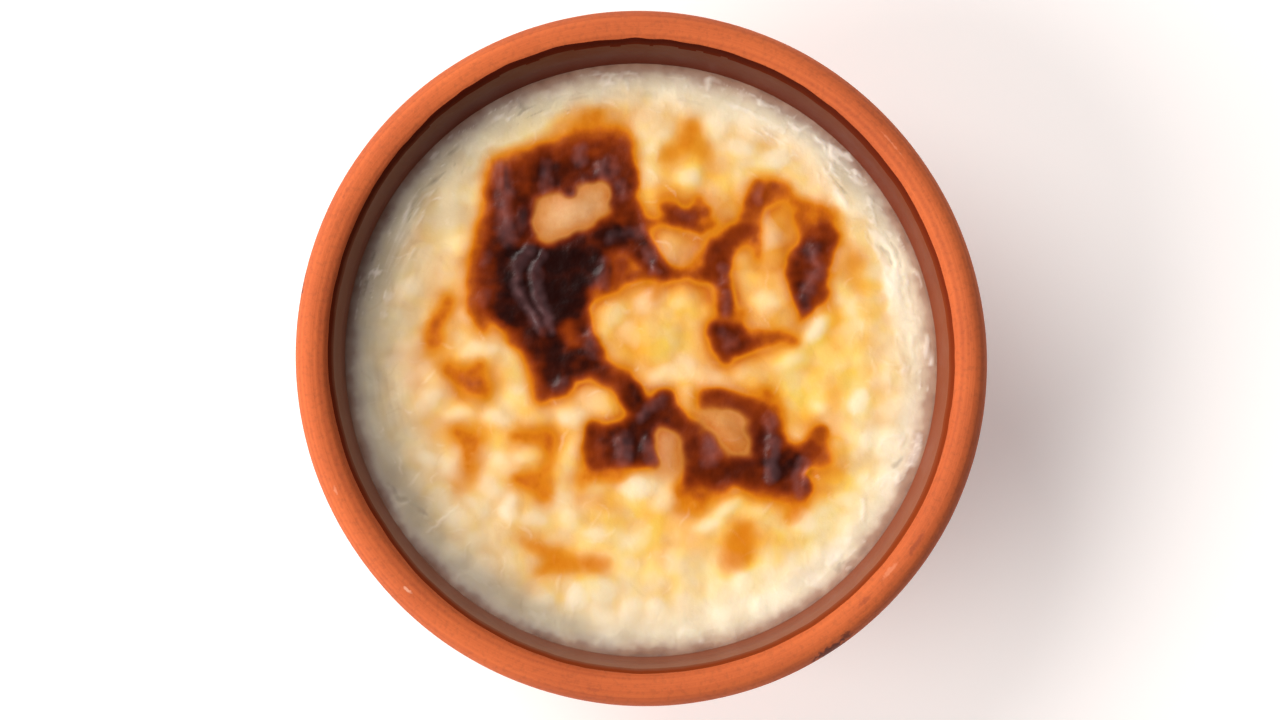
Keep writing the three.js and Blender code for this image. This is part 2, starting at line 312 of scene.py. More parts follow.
# Where the skin between the grains coloured, short of scorching: how much, how soft its edge is, points.
TOASTED = (
    (0.34, 2.0, ((5.0, 20.5, 1.6), (6.6, 18.6, 1.8), (8.5, 19.6, 2.2))),
    (0.22, 2.0, ((4.0, 22.0, 1.0), (11.0, 21.8, 1.0))),
    (0.34, 2.0, ((3.6, 28.4, 1.0), (6.6, 28.2, 1.4), (9.6, 28.0, 0.6))),
    (0.50, 1.5, ((12.0, -10.4, 1.4), (15.2, -12.0, 2.4), (17.0, -14.6, 2.0))),
    (0.36, 1.5, ((4.2, -13.8, 1.4), (4.9, -15.8, 1.8), (4.8, -18.0, 1.6))),
    (0.30, 2.2, ((12.6, 29.0, 0.8), (14.4, 27.0, 1.6), (15.6, 24.0, 0.8))),
    (0.44, 2.0, ((22.6, 27.4, 1.2), (24.6, 25.0, 1.8), (24.2, 21.4, 1.2), (23.4, 16.5, 0.8))),
    (0.28, 2.0, ((17.6, 16.5, 0.6), (19.5, 15.6, 1.0), (21.5, 15.0, 0.8))),
    (0.22, 2.0, ((16.6, 12.5, 0.8), (17.4, 9.0, 1.2), (20.5, 7.6, 1.0), (25.0, 8.5, 1.0),
        (27.4, 6.4, 0.8))),
    (0.20, 2.5, ((20.0, 12.5, 1.5), (23.5, 12.5, 1.5))),
    (0.28, 2.0, ((4.0, 13.0, 0.8), (9.5, 12.6, 1.2), (12, 10.0, 1.0))),
    (0.24, 2.0, ((-6.0, 10.6, 0.8), (-3.0, 11.0, 1.0), (-1.0, 11.4, 0.4))),
    (0.12, 2.5, ((-1.5, 3.0, 1.6), (0.5, 0.0, 1.4))),
    (0.20, 2.4, ((11.2, 1.6, 0.6), (14.5, -0.6, 0.8), (19, 0.4, 1.2), (22.5, 2.2, 1.2), (26.0, 4.0, 0.8))),
    (0.30, 2.0, ((33.6, 9.0, 1.0), (34.2, 5.5, 1.2), (34.8, 3.0, 1.0))),
    (0.30, 2.0, ((34.2, -4.0, 0.8), (34.2, -8, 1.2), (34.6, -13, 1.0), (34.8, -17.5, 1.0))),
    (0.32, 2.0, ((31.4, -23.6, 1.0), (32.6, -20.5, 1.6), (36.0, -18.5, 1.2))),
    (0.20, 2.0, ((28.5, -10.8, 0.8), (31.5, -10.6, 0.6))),
    (0.22, 2.2, ((27.0, -27.4, 1.0), (28.5, -25.0, 1.0))),
    (0.22, 1.8, ((20.4, -31.2, 1.0), (23.4, -31.8, 1.0))),
    (0.26, 2.0, ((6.0, -28.6, 1.0), (7.6, -27.0, 1.4), (9.0, -31.8, 1.2), (10.5, -32.0, 0.8))),
    (0.14, 2.0, ((6.0, -41.6, 1.4), (9.0, -41.6, 1.0))),
    (0.14, 2.0, ((5.2, -29, 0.9), (3.6, -35, 0.6), (1.4, -39, 0.4))),
    (0.14, 2.2, ((-3.2, -28.2, 1.6), (0.4, -28.6, 1.6))),
    (0.30, 2.0, ((-8.6, -24.6, 0.8), (-5.6, -25.2, 1.2), (-4.4, -25.8, 0.8))),
    (0.26, 2.2, ((37.6, 18.6, 1.4), (38.0, 14.6, 1.2), (40.8, 9.0, 0.8), (40.6, 3.5, 0.6))),
    (0.22, 2.0, ((-33.2, 2.4, 0.8), (-33.6, 6.5, 1.2), (-33.4, 11.0, 1.0))),
    (0.10, 2.0, ((-33.4, 12.0, 1.4), (-35.0, 16.0, 1.6))),
    (0.26, 1.6, ((-34.6, -4.6, 0.8), (-31.4, -7.0, 0.8), (-27.6, -7.4, 0.8), (-25.8, -5.0, 0.6))),
    (0.16, 2.8, ((-40.0, 1.0, 1.6), (-39.6, -6.0, 2.0), (-37.4, -12.0, 2.4), (-33.6, -10.0, 1.6))),
    (0.18, 1.8, ((-28.0, -14.6, 0.8), (-28.0, -17.6, 0.8))),
    (0.34, 1.6, ((-19.6, -13.2, 0.8), (-15.6, -13.0, 1.0), (-15.4, -16.6, 1.2), (-16.4, -19.0, 0.8))),
    (0.34, 1.8, ((-20.4, -21.4, 1.0), (-17.4, -23.6, 1.2), (-16.0, -21.4, 0.8))),
    (0.14, 2.0, ((-10.6, -27.4, 1.0), (-8.0, -27.4, 0.8))),
    (0.20, 1.6, ((-18.5, -33.0, 0.8), (-15.4, -35.4, 1.2), (-10.6, -36.2, 1.2), (-6.0, -36.6, 0.8))),
    (0.30, 2.0, ((14.8, -31.6, 1.0), (18.6, -30.8, 1.2), (18.6, -34.0, 1.0), (14.4, -35.0, 0.8))),
    (0.12, 2.0, ((9.6, 40.0, 1.6), (10.6, 36.4, 0.8))),
    (0.14, 2.0, ((5.2, 34.6, 1.4),)),
)

# Where the skin stayed paler than its surroundings: how much, how soft its edge is, points.
SPARED = (
    (0.26, 1.5, ((-28.6, 31.5, 0.6), (-29.8, 26, 1.2), (-30.4, 20.5, 0.8))),
    (0.24, 1.5, ((-25.0, 3.8, 0.6), (-22.6, 0.4, 1.2), (-20.6, -4.6, 1.4), (-19.6, -8, 0.8))),
    (0.26, 1.3, ((-8.6, 9.6, 0.5), (-7.6, 6, 1.0), (-6.4, 1.6, 1.0), (-4.4, -1.4, 0.5))),
    (0.20, 1.5, ((3.0, 21.0, 0.8), (4.6, 18.4, 1.2), (6.6, 16.4, 0.8))),
    (0.20, 1.8, ((0.6, 39.5, 0.6), (1.8, 35, 1.4), (0.6, 30.4, 1.0), (1.6, 26.6, 0.8))),
    (0.22, 2.0, ((13.2, 40.5, 0.8), (14.0, 36.5, 1.2))),
    (0.14, 2.0, ((9.4, 34.8, 1.2),)),
    (0.20, 1.8, ((17.6, 32.8, 0.8), (21.0, 33.6, 1.2), (25.0, 32.6, 0.8), (28.8, 29.4, 1.0),
        (31.0, 28.2, 0.6))),
    (0.26, 1.4, ((-7.4, -5.4, 0.6), (-4.8, -6.6, 1.0), (-3.6, -9.0, 0.9))),
    (0.22, 1.4, ((6.4, -6.6, 0.8), (8.6, -9.4, 0.8))),
    (0.14, 2.0, ((-11.4, -16, 0.8), (-11.6, -21, 0.8), (-8.6, -23.2, 0.8))),
    (0.08, 2.0, ((-14.2, -17.0, 0.8), (-14.2, -21.6, 1.4))),
    (0.18, 1.8, ((-2.6, -21.6, 1.4), (1.6, -21.4, 1.4), (4.4, -23, 1.2))),
    (0.14, 2.4, ((-3.0, -24, 1.4), (-3.2, -31, 1.6), (-3.6, -36, 2.0))),
    (0.20, 1.8, ((11.2, -28.8, 1.2), (14.4, -26.4, 1.4), (16.6, -24.6, 1.0))),
    (0.28, 2.2, ((11.0, -36.4, 1.2), (13.4, -38.4, 1.2), (17.6, -38.0, 1.8), (21.4, -36.4, 1.4))),
    (0.20, 2.2, ((27.4, -31, 1.0), (30.4, -29, 1.6), (33.0, -26.6, 1.2))),
    (0.14, 2.8, ((-7.0, -40, 2.0), (1.5, -37, 2.0), (8.4, -37, 2.2))),
    (0.22, 1.5, ((24.8, -8.6, 0.6), (25.8, -12, 1.2), (27.8, -13.8, 0.8))),
    (0.20, 2.0, ((37.6, -3.6, 1.0), (38.6, -8.6, 1.8), (38.6, -14.6, 1.2))),
    (0.10, 1.6, ((31.0, -7.8, 1.2),)),
    (0.14, 2.0, ((26.0, 0.0, 1.8), (28.6, 2.8, 1.6), (30.4, 6.4, 1.0))),
    (0.22, 1.8, ((36.8, 10.6, 0.8), (37.2, 6.4, 1.2))),
    (0.12, 2.5, ((5.0, 4.6, 1.2), (6.2, -2.6, 2.0))),
    (0.06, 2.2, ((-25.6, -8.6, 1.4), (-21.8, -12, 1.4), (-27.6, -3.0, 0.8))),
    (0.18, 1.6, ((-25.2, -13.8, 1.0), (-24.6, -18.0, 1.0))),
    (0.10, 1.8, ((-38.4, 6.6, 1.0),)),
    (0.48, 1.8, ((-29.6, 34.6, 0.8), (-27.0, 38.0, 1.0), (-21.6, 41.4, 1.6), (-15.4, 45.0, 1.6))),
    (0.34, 1.8, ((-24.0, 38.4, 1.0), (-19.6, 40.4, 1.3), (-16.4, 42.6, 1.2))),
    (0.22, 2.0, ((-33.0, 32.0, 1.2), (-34.0, 26.0, 1.5), (-33.6, 20.0, 1.2))),
    (0.22, 3.0, ((42.6, -13.0, 2.5), (43.0, -18.0, 3.0), (38.0, -28.0, 3.0), (28.0, -36.5, 3.5),
        (16.0, -42.5, 3.0), (2.0, -45.5, 2.5))),
)

# Grains that stayed pale inside the scorch: how much scorch they lose, edge softness, points.
PALE_ISLANDS = (
    (0.95, 0.6, ((-17.6, 24.0, 1.8), (-15.2, 24.6, 2.6), (-13.0, 24.0, 2.0))),
    (0.95, 0.6, ((-13.0, 23.8, 1.8), (-10.8, 25.0, 1.6), (-8.8, 27.6, 2.3), (-7.6, 28.4, 2.5))),
    (0.80, 0.8, ((12.4, -10.2, 1.2), (15.2, -11.6, 2.3), (17.0, -14.2, 1.9))),
    (0.55, 0.9, ((11.6, -12.2, 1.0), (13.2, -13.0, 0.9))),
    (0.70, 0.8, ((4.2, -14, 1.4), (4.9, -15.8, 1.9), (4.8, -17.8, 1.6))),
)

# Where the milk skin toasted yellow: strength, softness, points.
GOLDEN = (
    (0.85, 4.0, ((-4, 5, 3.0), (3, 4, 5.0), (8, 5, 3.0))),
    (0.60, 5.0, ((8, 10, 5.0), (18, 4, 4.0), (22, 14, 6.0), (12, 20, 6.0))),
    (1.00, 3.5, ((29, 2, 2.5), (31, -3, 3.0), (34, 5, 4.0), (38, 8, 3.0))),
    (0.95, 3.5, ((30, -6, 3.0), (35, -8, 4.0), (37, -2, 3.0))),
    (0.70, 4.0, ((24, 1, 5.0), (33, -10, 5.0), (37, 8, 5.0), (38, 15, 3.5), (33, 26, 2.0))),
    (0.75, 4.0, ((20, -4, 4.0), (30, -10, 6.0), (35, -19, 4.5), (29, -27, 4.0), (18, -32, 6.0))),
    (0.68, 4.0, ((-7, -26, 3.0), (0, -28, 4.0), (9, -30, 5.0), (18, -27, 5.0))),
    (0.70, 4.0, ((-14, -35, 3.5), (-3, -35, 3.0), (6, -37, 3.0), (16, -36, 3.0))),
    (0.65, 4.0, ((2, 30, 3.0), (8, 36, 4.5), (16, 31, 3.0), (24, 27, 4.0))),
    (0.60, 4.0, ((-36, 5, 2.0), (-32, -3, 3.5), (-29, -14, 4.0), (-19, -18, 5.5), (-14, -14, 4.0))),
    (0.40, 4.0, ((-22, -8, 5.0), (-27, -1, 4.0))),
    (0.25, 3.0, ((-31.5, 12, 2.0), (-31, 24, 1.2), (-26, 36, 1.0), (-15, 41, 1.6), (-7, 43, 1.6))),
    (0.60, 4.0, ((-8, -8, 3.0), (4, -2, 4.0), (10, -8, 3.0))),
)

# Where the skin stayed wet and grey over the milk below: strength, softness, points.
MILKY = (
    (0.70, 4.0, ((-22, 46, 2.0), (-33, 38.5, 3.0), (-42, 27, 4.0), (-47, 12, 5.5), (-47, -4, 6.0),
        (-44, -20, 4.5))),
    (0.60, 3.0, ((-49, 8, 2.0), (-49, -6, 3.0), (-46, -18, 3.0), (-40, -30, 2.5), (-30, -40, 2.0))),
    (0.85, 4.0, ((-44, -20, 4.0), (-36, -32, 4.0), (-27, -40, 3.5), (-18, -45, 2.5), (-6, -49, 1.0))),
    (0.50, 5.0, ((-36, 26, 2.5), (-39, 18, 3.0), (-40, 6, 2.0), (-41, -8, 2.0), (-38, -22, 2.5),
        (-30, -33, 2.5))),
    (0.55, 3.0, ((-32.5, 24, 1.6), (-30.5, 32, 1.6), (-25.5, 39.4, 1.6), (-18, 43.4, 1.4), (-11, 46, 1.0))),
    (0.35, 3.0, ((-20, 47, 2.0), (-6, 49, 2.0), (8, 49, 2.0), (20, 46, 1.0))),
    (0.62, 2.5, ((20, 45.6, 1.0), (26, 42.4, 1.8), (32, 38.0, 2.4), (37, 32.6, 2.4), (41.6, 26, 2.0),
        (44.6, 19, 1.2))),
    (0.35, 2.5, ((-14, -48, 1.6), (4, -50, 1.0), (26, -44, 1.0), (40, -28, 1.4))),
)

# Where the milk dried white: strength, softness, points.
WHITE = (
    (0.95, 2.5, ((43.6, 20, 1.5), (45.6, 12, 2.0), (48.0, 2, 1.4))),
    (0.70, 2.5, ((47, -8, 1.5), (47, -16, 1.6), (42, -14, 2.0))),
    (0.80, 3.0, ((38, -31, 1.6), (33, -36, 2.4), (24, -41, 2.4), (12, -45, 2.2), (0, -46, 1.6),
        (-10, -45, 1.6))),
    (0.72, 3.0, ((4, 45.6, 1.4), (12, 45, 2.0), (20, 42.0, 2.2))),
    (0.42, 3.0, ((22, 40.6, 2.0), (29, 36.4, 2.2), (35.4, 30.4, 2.2), (40.6, 23.6, 2.0))),
    (0.45, 2.5, ((-20, 43.6, 0.6), (-12, 46.2, 1.2), (-3, 46, 1.4), (4, 45.6, 1.2))),
)

# Where the milk starts to thin out into the film on the wall: azimuth (degrees), radius (mm).
FILM_START = (
    (0, 47.4), (15, 48.2), (30, 48.6), (50, 48.0), (70, 47.6), (90, 47.2), (110, 47.4), (130, 48.0),
    (150, 48.4), (170, 48.0), (190, 48.2), (210, 48.4), (230, 48.4), (250, 48.8), (270, 48.2),
    (290, 48.4), (310, 48.8), (330, 48.2), (345, 47.6), (360, 47.4),
)

# Single rice lumps that stand out: x, y, half length, half width, turn (degrees), how pale, how high (mm).
LUMPS = (
    (-23, -26.5, 3.0, 1.5, 85, 0.9, 0.6), (-19, -28, 2.6, 1.3, 10, 0.5, 0.5),
    (-37, -7, 3.6, 1.6, 40, 0.5, 0.6), (-32, -9.5, 3.0, 1.5, 0, 0.7, 0.5),
    (-42, -7, 2.6, 1.7, 45, 0.4, 0.5), (-28.5, 1, 4.4, 2.0, 0, 0.7, 0.6),
    (-20.5, -17, 2.8, 1.6, 10, 0.6, 0.6), (-25, -10.5, 3.0, 1.6, -20, 0.5, 0.5),
    (-37, -17.5, 3.0, 1.5, -30, 0.6, 0.4), (-12.5, -10, 3.6, 2.0, -25, 0.8, 0.6),
    (-11.3, -15.5, 3.0, 1.6, 80, 0.6, 0.5), (-12.5, -28, 2.4, 1.7, 0, 0.5, 0.5),
    (-8, -30.8, 3.0, 1.4, 10, 0.5, 0.4), (-11.5, -41.5, 3.2, 1.5, 80, 0.9, 0.6),
    (-17.5, -42, 2.2, 1.7, 30, 0.7, 0.5), (-1.5, -22.5, 3.2, 2.4, 0, 0.8, 0.6),
    (-2, -43.5, 2.8, 1.9, 60, 0.8, 0.5), (-7, -8, 3.6, 2.4, -20, 0.5, 0.6),
    (4, -3, 3.6, 2.0, 10, 0.6, 0.6), (8.2, -7, 3.2, 1.3, 85, 0.5, 0.5),
    (18, -2, 3.0, 1.6, 15, 0.6, 0.5), (31.3, -8, 2.0, 1.7, 0, 0.45, 0.4),
    (38, -7, 2.6, 1.7, 80, 0.9, 0.5), (39, -14.5, 2.2, 1.5, 60, 0.9, 0.5),
    (43.5, -14, 3.0, 2.0, 80, 0.6, 0.4), (34, -16, 3.2, 1.4, 80, 0.5, 0.5),
    (15.5, -25.5, 3.6, 1.3, 25, 0.7, 0.5), (11.5, -29, 3.4, 1.3, 25, 0.6, 0.4),
    (31, -33.5, 2.0, 1.8, 0, 1.0, 0.5), (36.5, -30.5, 2.6, 1.4, 80, 1.0, 0.6),
    (20.5, -43, 1.7, 1.4, 60, 1.0, 0.5), (8, -48.5, 1.7, 1.5, 0, 0.8, 0.4),
    (14, -44, 2.2, 1.6, 0, 0.7, 0.4), (2, -43, 2.4, 1.6, 45, 0.6, 0.4),
    (28, -28, 3.0, 2.0, 20, 0.7, 0.5), (36, -24, 3.2, 1.8, -20, 0.5, 0.4),
    (14.5, -47.6, 1.5, 1.3, 0, 0.7, 0.4), (26, -38, 3.0, 1.8, 30, 0.6, 0.4),
    (18, -38.5, 2.6, 1.6, -15, 0.5, 0.4), (4.5, 18, 3.2, 2.6, 40, 0.5, 0.6),
    (8.3, 32, 2.0, 1.8, 0, 0.7, 0.5), (17.5, 37, 3.0, 1.6, -15, 0.6, 0.4),
    (24, 35, 3.4, 2.0, 10, 0.7, 0.5), (23, 22, 3.6, 2.0, 80, 0.6, 0.6),
    (22, 10.5, 3.4, 2.8, 0, 0.7, 0.6), (31, 5.5, 3.4, 1.7, 65, 0.9, 0.5),
    (38, 10, 3.0, 2.6, 0, 0.4, 0.5), (38.5, 21, 3.8, 1.6, -55, 0.5, 0.4),
    (36, 27.5, 4.0, 1.3, -50, 0.9, 0.4), (44.5, 12, 4.6, 1.5, 82, 1.0, 0.5),
    (2, 10, 3.0, 2.0, 20, 0.4, 0.5), (8, 10.5, 2.8, 2.4, 70, 0.5, 0.6), (3, 3, 4.6, 3.6, 0, 0.2, 0.7),
    (17.7, 17.7, 1.9, 1.8, 0, 0.7, 0.5), (-5, 8, 3.0, 2.0, 50, 0.5, 0.5),
    (-30, 7.5, 1.8, 1.5, 0, 0.5, 0.3), (11, 24, 2.4, 1.5, 30, 0.4, 0.4),
    (3.5, 38, 2.2, 1.8, 70, 0.5, 0.4), (13, 41, 2.6, 1.6, 0, 0.4, 0.4),
    (28, 33, 2.4, 1.5, -40, 0.3, 0.3), (12, -12.7, 1.5, 1.1, -20, 0.2, 0.2),
    (15.3, -12.6, 4.0, 2.0, -48, 0.6, 0.7), (4.8, -15.5, 2.8, 1.7, 85, 0.5, 0.5),
    (-11.5, 26, 5.2, 2.6, 30, 0.5, 0.8), (-45, 3, 2.6, 1.6, 70, 0.3, 0.4),
    (-41, 12, 2.6, 1.6, 50, 0.4, 0.4),
)

# Creases (below 0) and folds (above 0) of the skin: height in mm, half width, points (x, y).
FOLDS = (
    (-0.40, 0.25, ((-22.0, 44.3), (-24.4, 43.0), (-26.8, 41.2))),
    (-0.30, 0.25, ((-26.8, 41.8), (-30.0, 40.0), (-33.4, 37.6))),
    (-0.30, 0.30, ((-30.6, 38.4), (-33.6, 35.8), (-36.2, 33.0))),
    (-0.36, 0.25, ((-46.6, 18.4), (-48.0, 13.0), (-48.6, 8.6))),
    (0.25, 0.40, ((-21, 45.4), (-27, 42.4), (-33, 38.6), (-38, 33.4))),
    (0.26, 0.7, ((32.4, 31.4), (36, 27.2), (39.6, 22.8), (42, 18.6), (43.6, 13), (44, 8))),
    (-0.32, 0.5, ((34.2, 31.2), (38.6, 26.4), (41.6, 21.8), (43.6, 16.4))),
    (0.22, 0.5, ((42.6, 22.6), (44.2, 17), (45.4, 10), (45.8, 4))),
    (0.28, 0.3, ((18.0, 46.6), (24.0, 43.8), (30.0, 39.8), (34.6, 36.0))),
    (0.26, 0.3, ((26.6, 41.0), (31.4, 38.6), (36.6, 33.4))),
    (0.26, 0.3, ((38.0, 33.0), (42.0, 27.0), (44.4, 21.4))),
    (0.22, 0.3, ((46.8, 14.0), (47.8, 7.0), (47.4, 0.0))),
    (-0.22, 0.3, ((40.0, 28.4), (43.4, 22.6), (45.4, 16.0))),
    (0.35, 0.5, ((30.6, 38.6), (34, 37.2), (37, 35.6))),
    (-0.10, 1.0, ((-13, 45.8), (-5, 46.6), (0, 46.2), (6, 45.8), (11, 44.8))),
    (0.25, 0.4, ((11, 46), (16, 44.6), (20, 43.2), (24, 40.4))),
    (0.16, 0.35, ((-10.8, 48.6), (-9.4, 49.6), (-7.6, 50.2), (-5.4, 50.2), (-4.6, 49.6), (-5.2, 48.6),
        (-7.0, 48.1))),
    (0.14, 0.35, ((-3.8, 48.8), (-3.2, 49.7), (-1.8, 50.1), (-0.4, 49.6), (0.1, 48.6), (-0.6, 47.8),
        (-2.0, 47.5))),
    (0.12, 0.4, ((6.2, -48.9), (6.8, -47.6), (8.2, -47.1), (9.5, -47.8), (9.9, -49.1))),
    (0.12, 0.4, ((12.9, -48.0), (13.5, -46.8), (14.8, -46.3), (16.1, -47.0), (16.4, -48.2))),
    (0.14, 0.35, ((-37.4, -30), (-34.6, -28), (-31.6, -24.8))),
    (-0.25, 0.5, ((-44, -22), (-40.5, -26), (-38, -27.5))),
    (0.30, 0.4, ((38.5, -24.4), (38.4, -32))),
    (-0.25, 0.6, ((30.5, -36.5), (34, -36.3), (37, -35.2), (40, -32))),
    (0.30, 0.5, ((46.6, -12), (48.6, -15), (48.2, -18))),
    (-0.25, 0.5, ((44, -19), (46.4, -16))),
    (0.20, 0.5, ((-11.6, -38.6), (-12.8, -45))),
)

# Wrinkles and blisters of the burnt skin, which catch the light and get a painted sheen round them: height in
# mm, half width, points (x, y).
BLISTERS = (
    (0.50, 0.8, ((-19.4, 18.8), (-20.9, 17.4), (-21.8, 14.9), (-21.5, 12.1), (-20.1, 9.6),
        (-18.4, 6.6), (-17.3, 4.9))),
    (0.50, 0.8, ((-17.2, 18.2), (-18.2, 16.6), (-18.4, 13.2), (-17.6, 10.2), (-16.5, 7.7), (-15.9, 5.2))),
    (0.45, 1.5, ((-24, 33), (-23.8, 27), (-23.2, 21))),
    (0.40, 1.0, ((-16.3, 34), (-16.5, 29.5))),
    (0.35, 0.9, ((-20.6, 25.6), (-21.0, 22.8))),
    (0.40, 1.3, ((-10.4, 36), (-10.6, 34.6))),
    (0.40, 0.9, ((-7, 33), (-5.7, 34.3), (-4.4, 33), (-5.6, 31.6), (-7, 33))),
    (0.35, 1.0, ((-3.7, 31), (-2.6, 28.2))),
    (0.35, 1.0, ((-5.1, 21.3), (0.2, 22.1))),
    (0.45, 0.7, ((1, 18.8), (2.7, 15.4))),
    (0.35, 1.0, ((-8.2, 13.2), (-6.2, 15))),
    (0.35, 0.8, ((-6.2, 12.7), (-6.2, 17))),
    (0.30, 0.9, ((-27.2, 9.6), (-27, 11))),
    (0.30, 0.9, ((-27, 16.5), (-27, 18))),
    (0.35, 1.0, ((-13.7, -4.1), (-14.5, -5))),
    (0.35, 1.2, ((-8.9, 3.6), (-8.4, 0.8))),
    (0.50, 1.5, ((-3.3, -14.4), (-3.3, -17.4))),
    (0.40, 0.9, ((1.0, -14.5), (1.8, -17.3))),
    (0.45, 1.0, ((3.4, -7), (1.4, -8.6), (0.4, -10))),
    (0.50, 1.6, ((12.3, -14.6), (12, -17))),
    (0.55, 1.0, ((22.7, -10.5), (22.9, -15), (22.7, -20.3))),
    (0.45, 0.5, ((27.3, -23.8), (27.0, -20), (28.1, -17.4), (29.1, -18), (28.8, -21), (27.6, -23.8))),
    (0.40, 1.4, ((30.4, 19), (30.9, 16), (29.6, 12.4))),
    (0.35, 1.0, ((28.6, 10.6), (28.6, 9.4))),
    (0.35, 1.0, ((14.6, 16), (15, 14))),
    (0.35, 1.2, ((14.7, 4.5), (15.6, 2.8))),
    (0.35, 0.8, ((14.9, 11.5), (14.9, 8))),
    (0.35, 0.8, ((21, 30), (20.6, 28))),
    (0.30, 0.9, ((6.6, 25.8), (9.4, 24.6))),
    (0.30, 0.8, ((-31, -3.4), (-28.6, -4.2))),
)

# ---------------------------------------------------- the skin's maps on a grid of small cells (mm)

CELL = 0.2
HALF = 54.0
cells = int(round(2 * HALF / CELL))
ruler = (np.arange(cells) + 0.5) * CELL - HALF
GX, GY = np.meshgrid(ruler, ruler, indexing="ij")
GR = np.hypot(GX, GY)
AZIMUTH = np.degrees(np.arctan2(GY, GX))

# Soft sways of the outlines: by how much (mm), the size of the lumps (mm), the seeds for x and y, octaves.
SCORCH_SWAYS = ((0.6, 2.6, 21, 23, 2), (0.35, 1.1, 22, 24, 1))
ISLAND_SWAYS = ((0.8, 3.4, 34, 35, 1),)
WASH_SWAYS = ((1.2, 5.0, 27, 28, 2),)
GRAIN_SWAYS = ((1.0, 3.0, 51, 52, 2),)
FOLD_SWAYS = ((0.7, 3.5, 53, 54, 2), (0.25, 1.0, 59, 60, 1))
SHEEN_SWAYS = ((0.6, 1.8, 56, 57, 2),)

# The scorch fades in from outside its stroke to inside it, in shares of the stroke's own softness.
SCORCH_FADE = (-0.9, 0.6)
SCORCH_SPREAD = 0.5
ISLAND_SPREAD = 0.35
ISLAND_RIM = (-3.0, -0.8)

# The grains that are laid by chance between the ones that stand out (mm).
SMALL_GRAINS = 300
SMALL_SPACING = 4.0
SMALL_REACH = 50.0
CLEAR_OF_LUMPS = 3.2
GRAIN_SPREAD = 0.6
CROWN_ROUNDNESS = 1.25
GRAIN_WINDOW = 2.2
CREVICE = 0.35
MOST_TRIES = 40000

# Hairline wrinkles (mm): near the wall they run outwards, further in they run any way.
HAIR_SPACING = 2.6
HAIR_REACH = 50.5
HAIR_WIDTH = 0.24
HAIR_WINDOW = 4
RADIAL_FROM = 41

# How toasted the skin is in the middle, and how much less it is that far out (mm).
TOAST_IN_THE_MIDDLE = 0.36
TOAST_LOST = 0.17
LOST_AT = 42
SHADE_OF_GRAINS = 0.35

# The skin ends at the wall. The strands there are measured round it from a place without any (degrees).
WALL_AT = 51.8
STRAND_RADIUS = 47
STRAND_START = 135


def drift(size, seed, octaves=1):
    """Soft noise over the whole skin."""
    return noise(GX, GY, size, seed, octaves)


def swayed(x, y, sways):
    """Places moved a little by soft noise, so that outlines wander as baked ones do."""
    for amount, size, seed_x, seed_y, octaves in sways:
        x = x + amount * drift(size, seed_x, octaves)
        y = y + amount * drift(size, seed_y, octaves)
    return x, y


def scorch_map():
    """How scorched each place is, the heat before the pale grains are spared, and the rings round those."""
    wx, wy = swayed(GX, GY, SCORCH_SWAYS)
    total = np.zeros_like(GX)
    for tone, halo, points in SCORCHED + BROWNED:
        none, full = (share * halo for share in SCORCH_FADE)
        total = np.maximum(total, tone * smooth(none, full, stroke_depth(wx, wy, points)))
    heat = blurred(total, SCORCH_SPREAD)
    depth = heat.copy()
    island = np.zeros_like(GX)
    ix, iy = swayed(wx, wy, ISLAND_SWAYS)
    for cut, edge, points in PALE_ISLANDS:
        inside = stroke_depth(ix, iy, points)
        depth *= 1 - cut * smooth(-edge, edge, inside)
        island = np.maximum(island, cut * smooth(*ISLAND_RIM, inside))
    mottled = 1.03 + 0.16 * drift(2.8, 26, 2) + 0.07 * drift(1.2, 36)
    depth = np.clip(blurred(depth, ISLAND_SPREAD) * mottled, 0, 1)
    return depth, heat, blurred(island, SCORCH_SPREAD)


def washed(strokes, spread):
    """Broad soft strokes, as a tint that soaked into the skin."""
    total = np.zeros_like(GX)
    wx, wy = swayed(GX, GY, WASH_SWAYS)
    for strength, halo, points in strokes:
        total = np.maximum(total, strength * smooth(-halo, halo, stroke_depth(wx, wy, points)))
    return blurred(total, spread)


def scattered(count, spacing, reach, seed):
    """Places at least spacing apart inside a circle, drawn one after another."""
    pick = np.random.default_rng(seed)
    kept = []
    tries = 0
    while len(kept) < count and tries < MOST_TRIES:
        tries += 1
        r = reach * math.sqrt(pick.random())
        a = 2 * math.pi * pick.random()
        x, y = r * math.cos(a), r * math.sin(a)
        if all((x - p) ** 2 + (y - q) ** 2 > spacing ** 2 for p, q in kept):
            kept.append((x, y))
    return kept


def turned_about(x, y, reach, turn):
    """The cells within reach of a place, and how far each lies along and across a line through it."""
    near = tuple(slice(*np.searchsorted(ruler, (place - reach, place + reach))) for place in (x, y))
    px, py = SWAYED_X[near] - x, SWAYED_Y[near] - y
    along = px * math.cos(turn) + py * math.sin(turn)
    across = py * math.cos(turn) - px * math.sin(turn)
    return near, along, across


def lay_grains(grains):
    """Grains side by side under the skin, each (x, y, half length, half width, turn, pale, height).

    Returns how high and how pale the topmost grain makes each place, its own tint, and the crevices
    between grains.
    """
    top, below, rise, pale, tint = (np.zeros_like(GX) for _ in range(5))
    pick = np.random.default_rng(SEED + 3)
    for x, y, long_half, wide_half, turn, paleness, lift in grains:
        near, along, across = turned_about(x, y, GRAIN_WINDOW * long_half, turn)
        crown = np.exp(-((along / long_half) ** 2 + (across / wide_half) ** 2) ** CROWN_ROUNDNESS)
        old = top[near]
        wins = crown > old
        below[near] = np.where(wins, old, np.maximum(below[near], crown))
        top[near] = np.maximum(old, crown)
        own = pick.uniform(-1, 1)
        for field, value in ((rise, lift), (pale, paleness), (tint, own)):
            field[near] = np.where(wins, value, field[near])
    gap = 1 - smooth(0.0, CREVICE, top - below)
    return top * rise, smooth(0.1, 0.9, top) * pale, tint * smooth(0.1, 0.5, top), gap


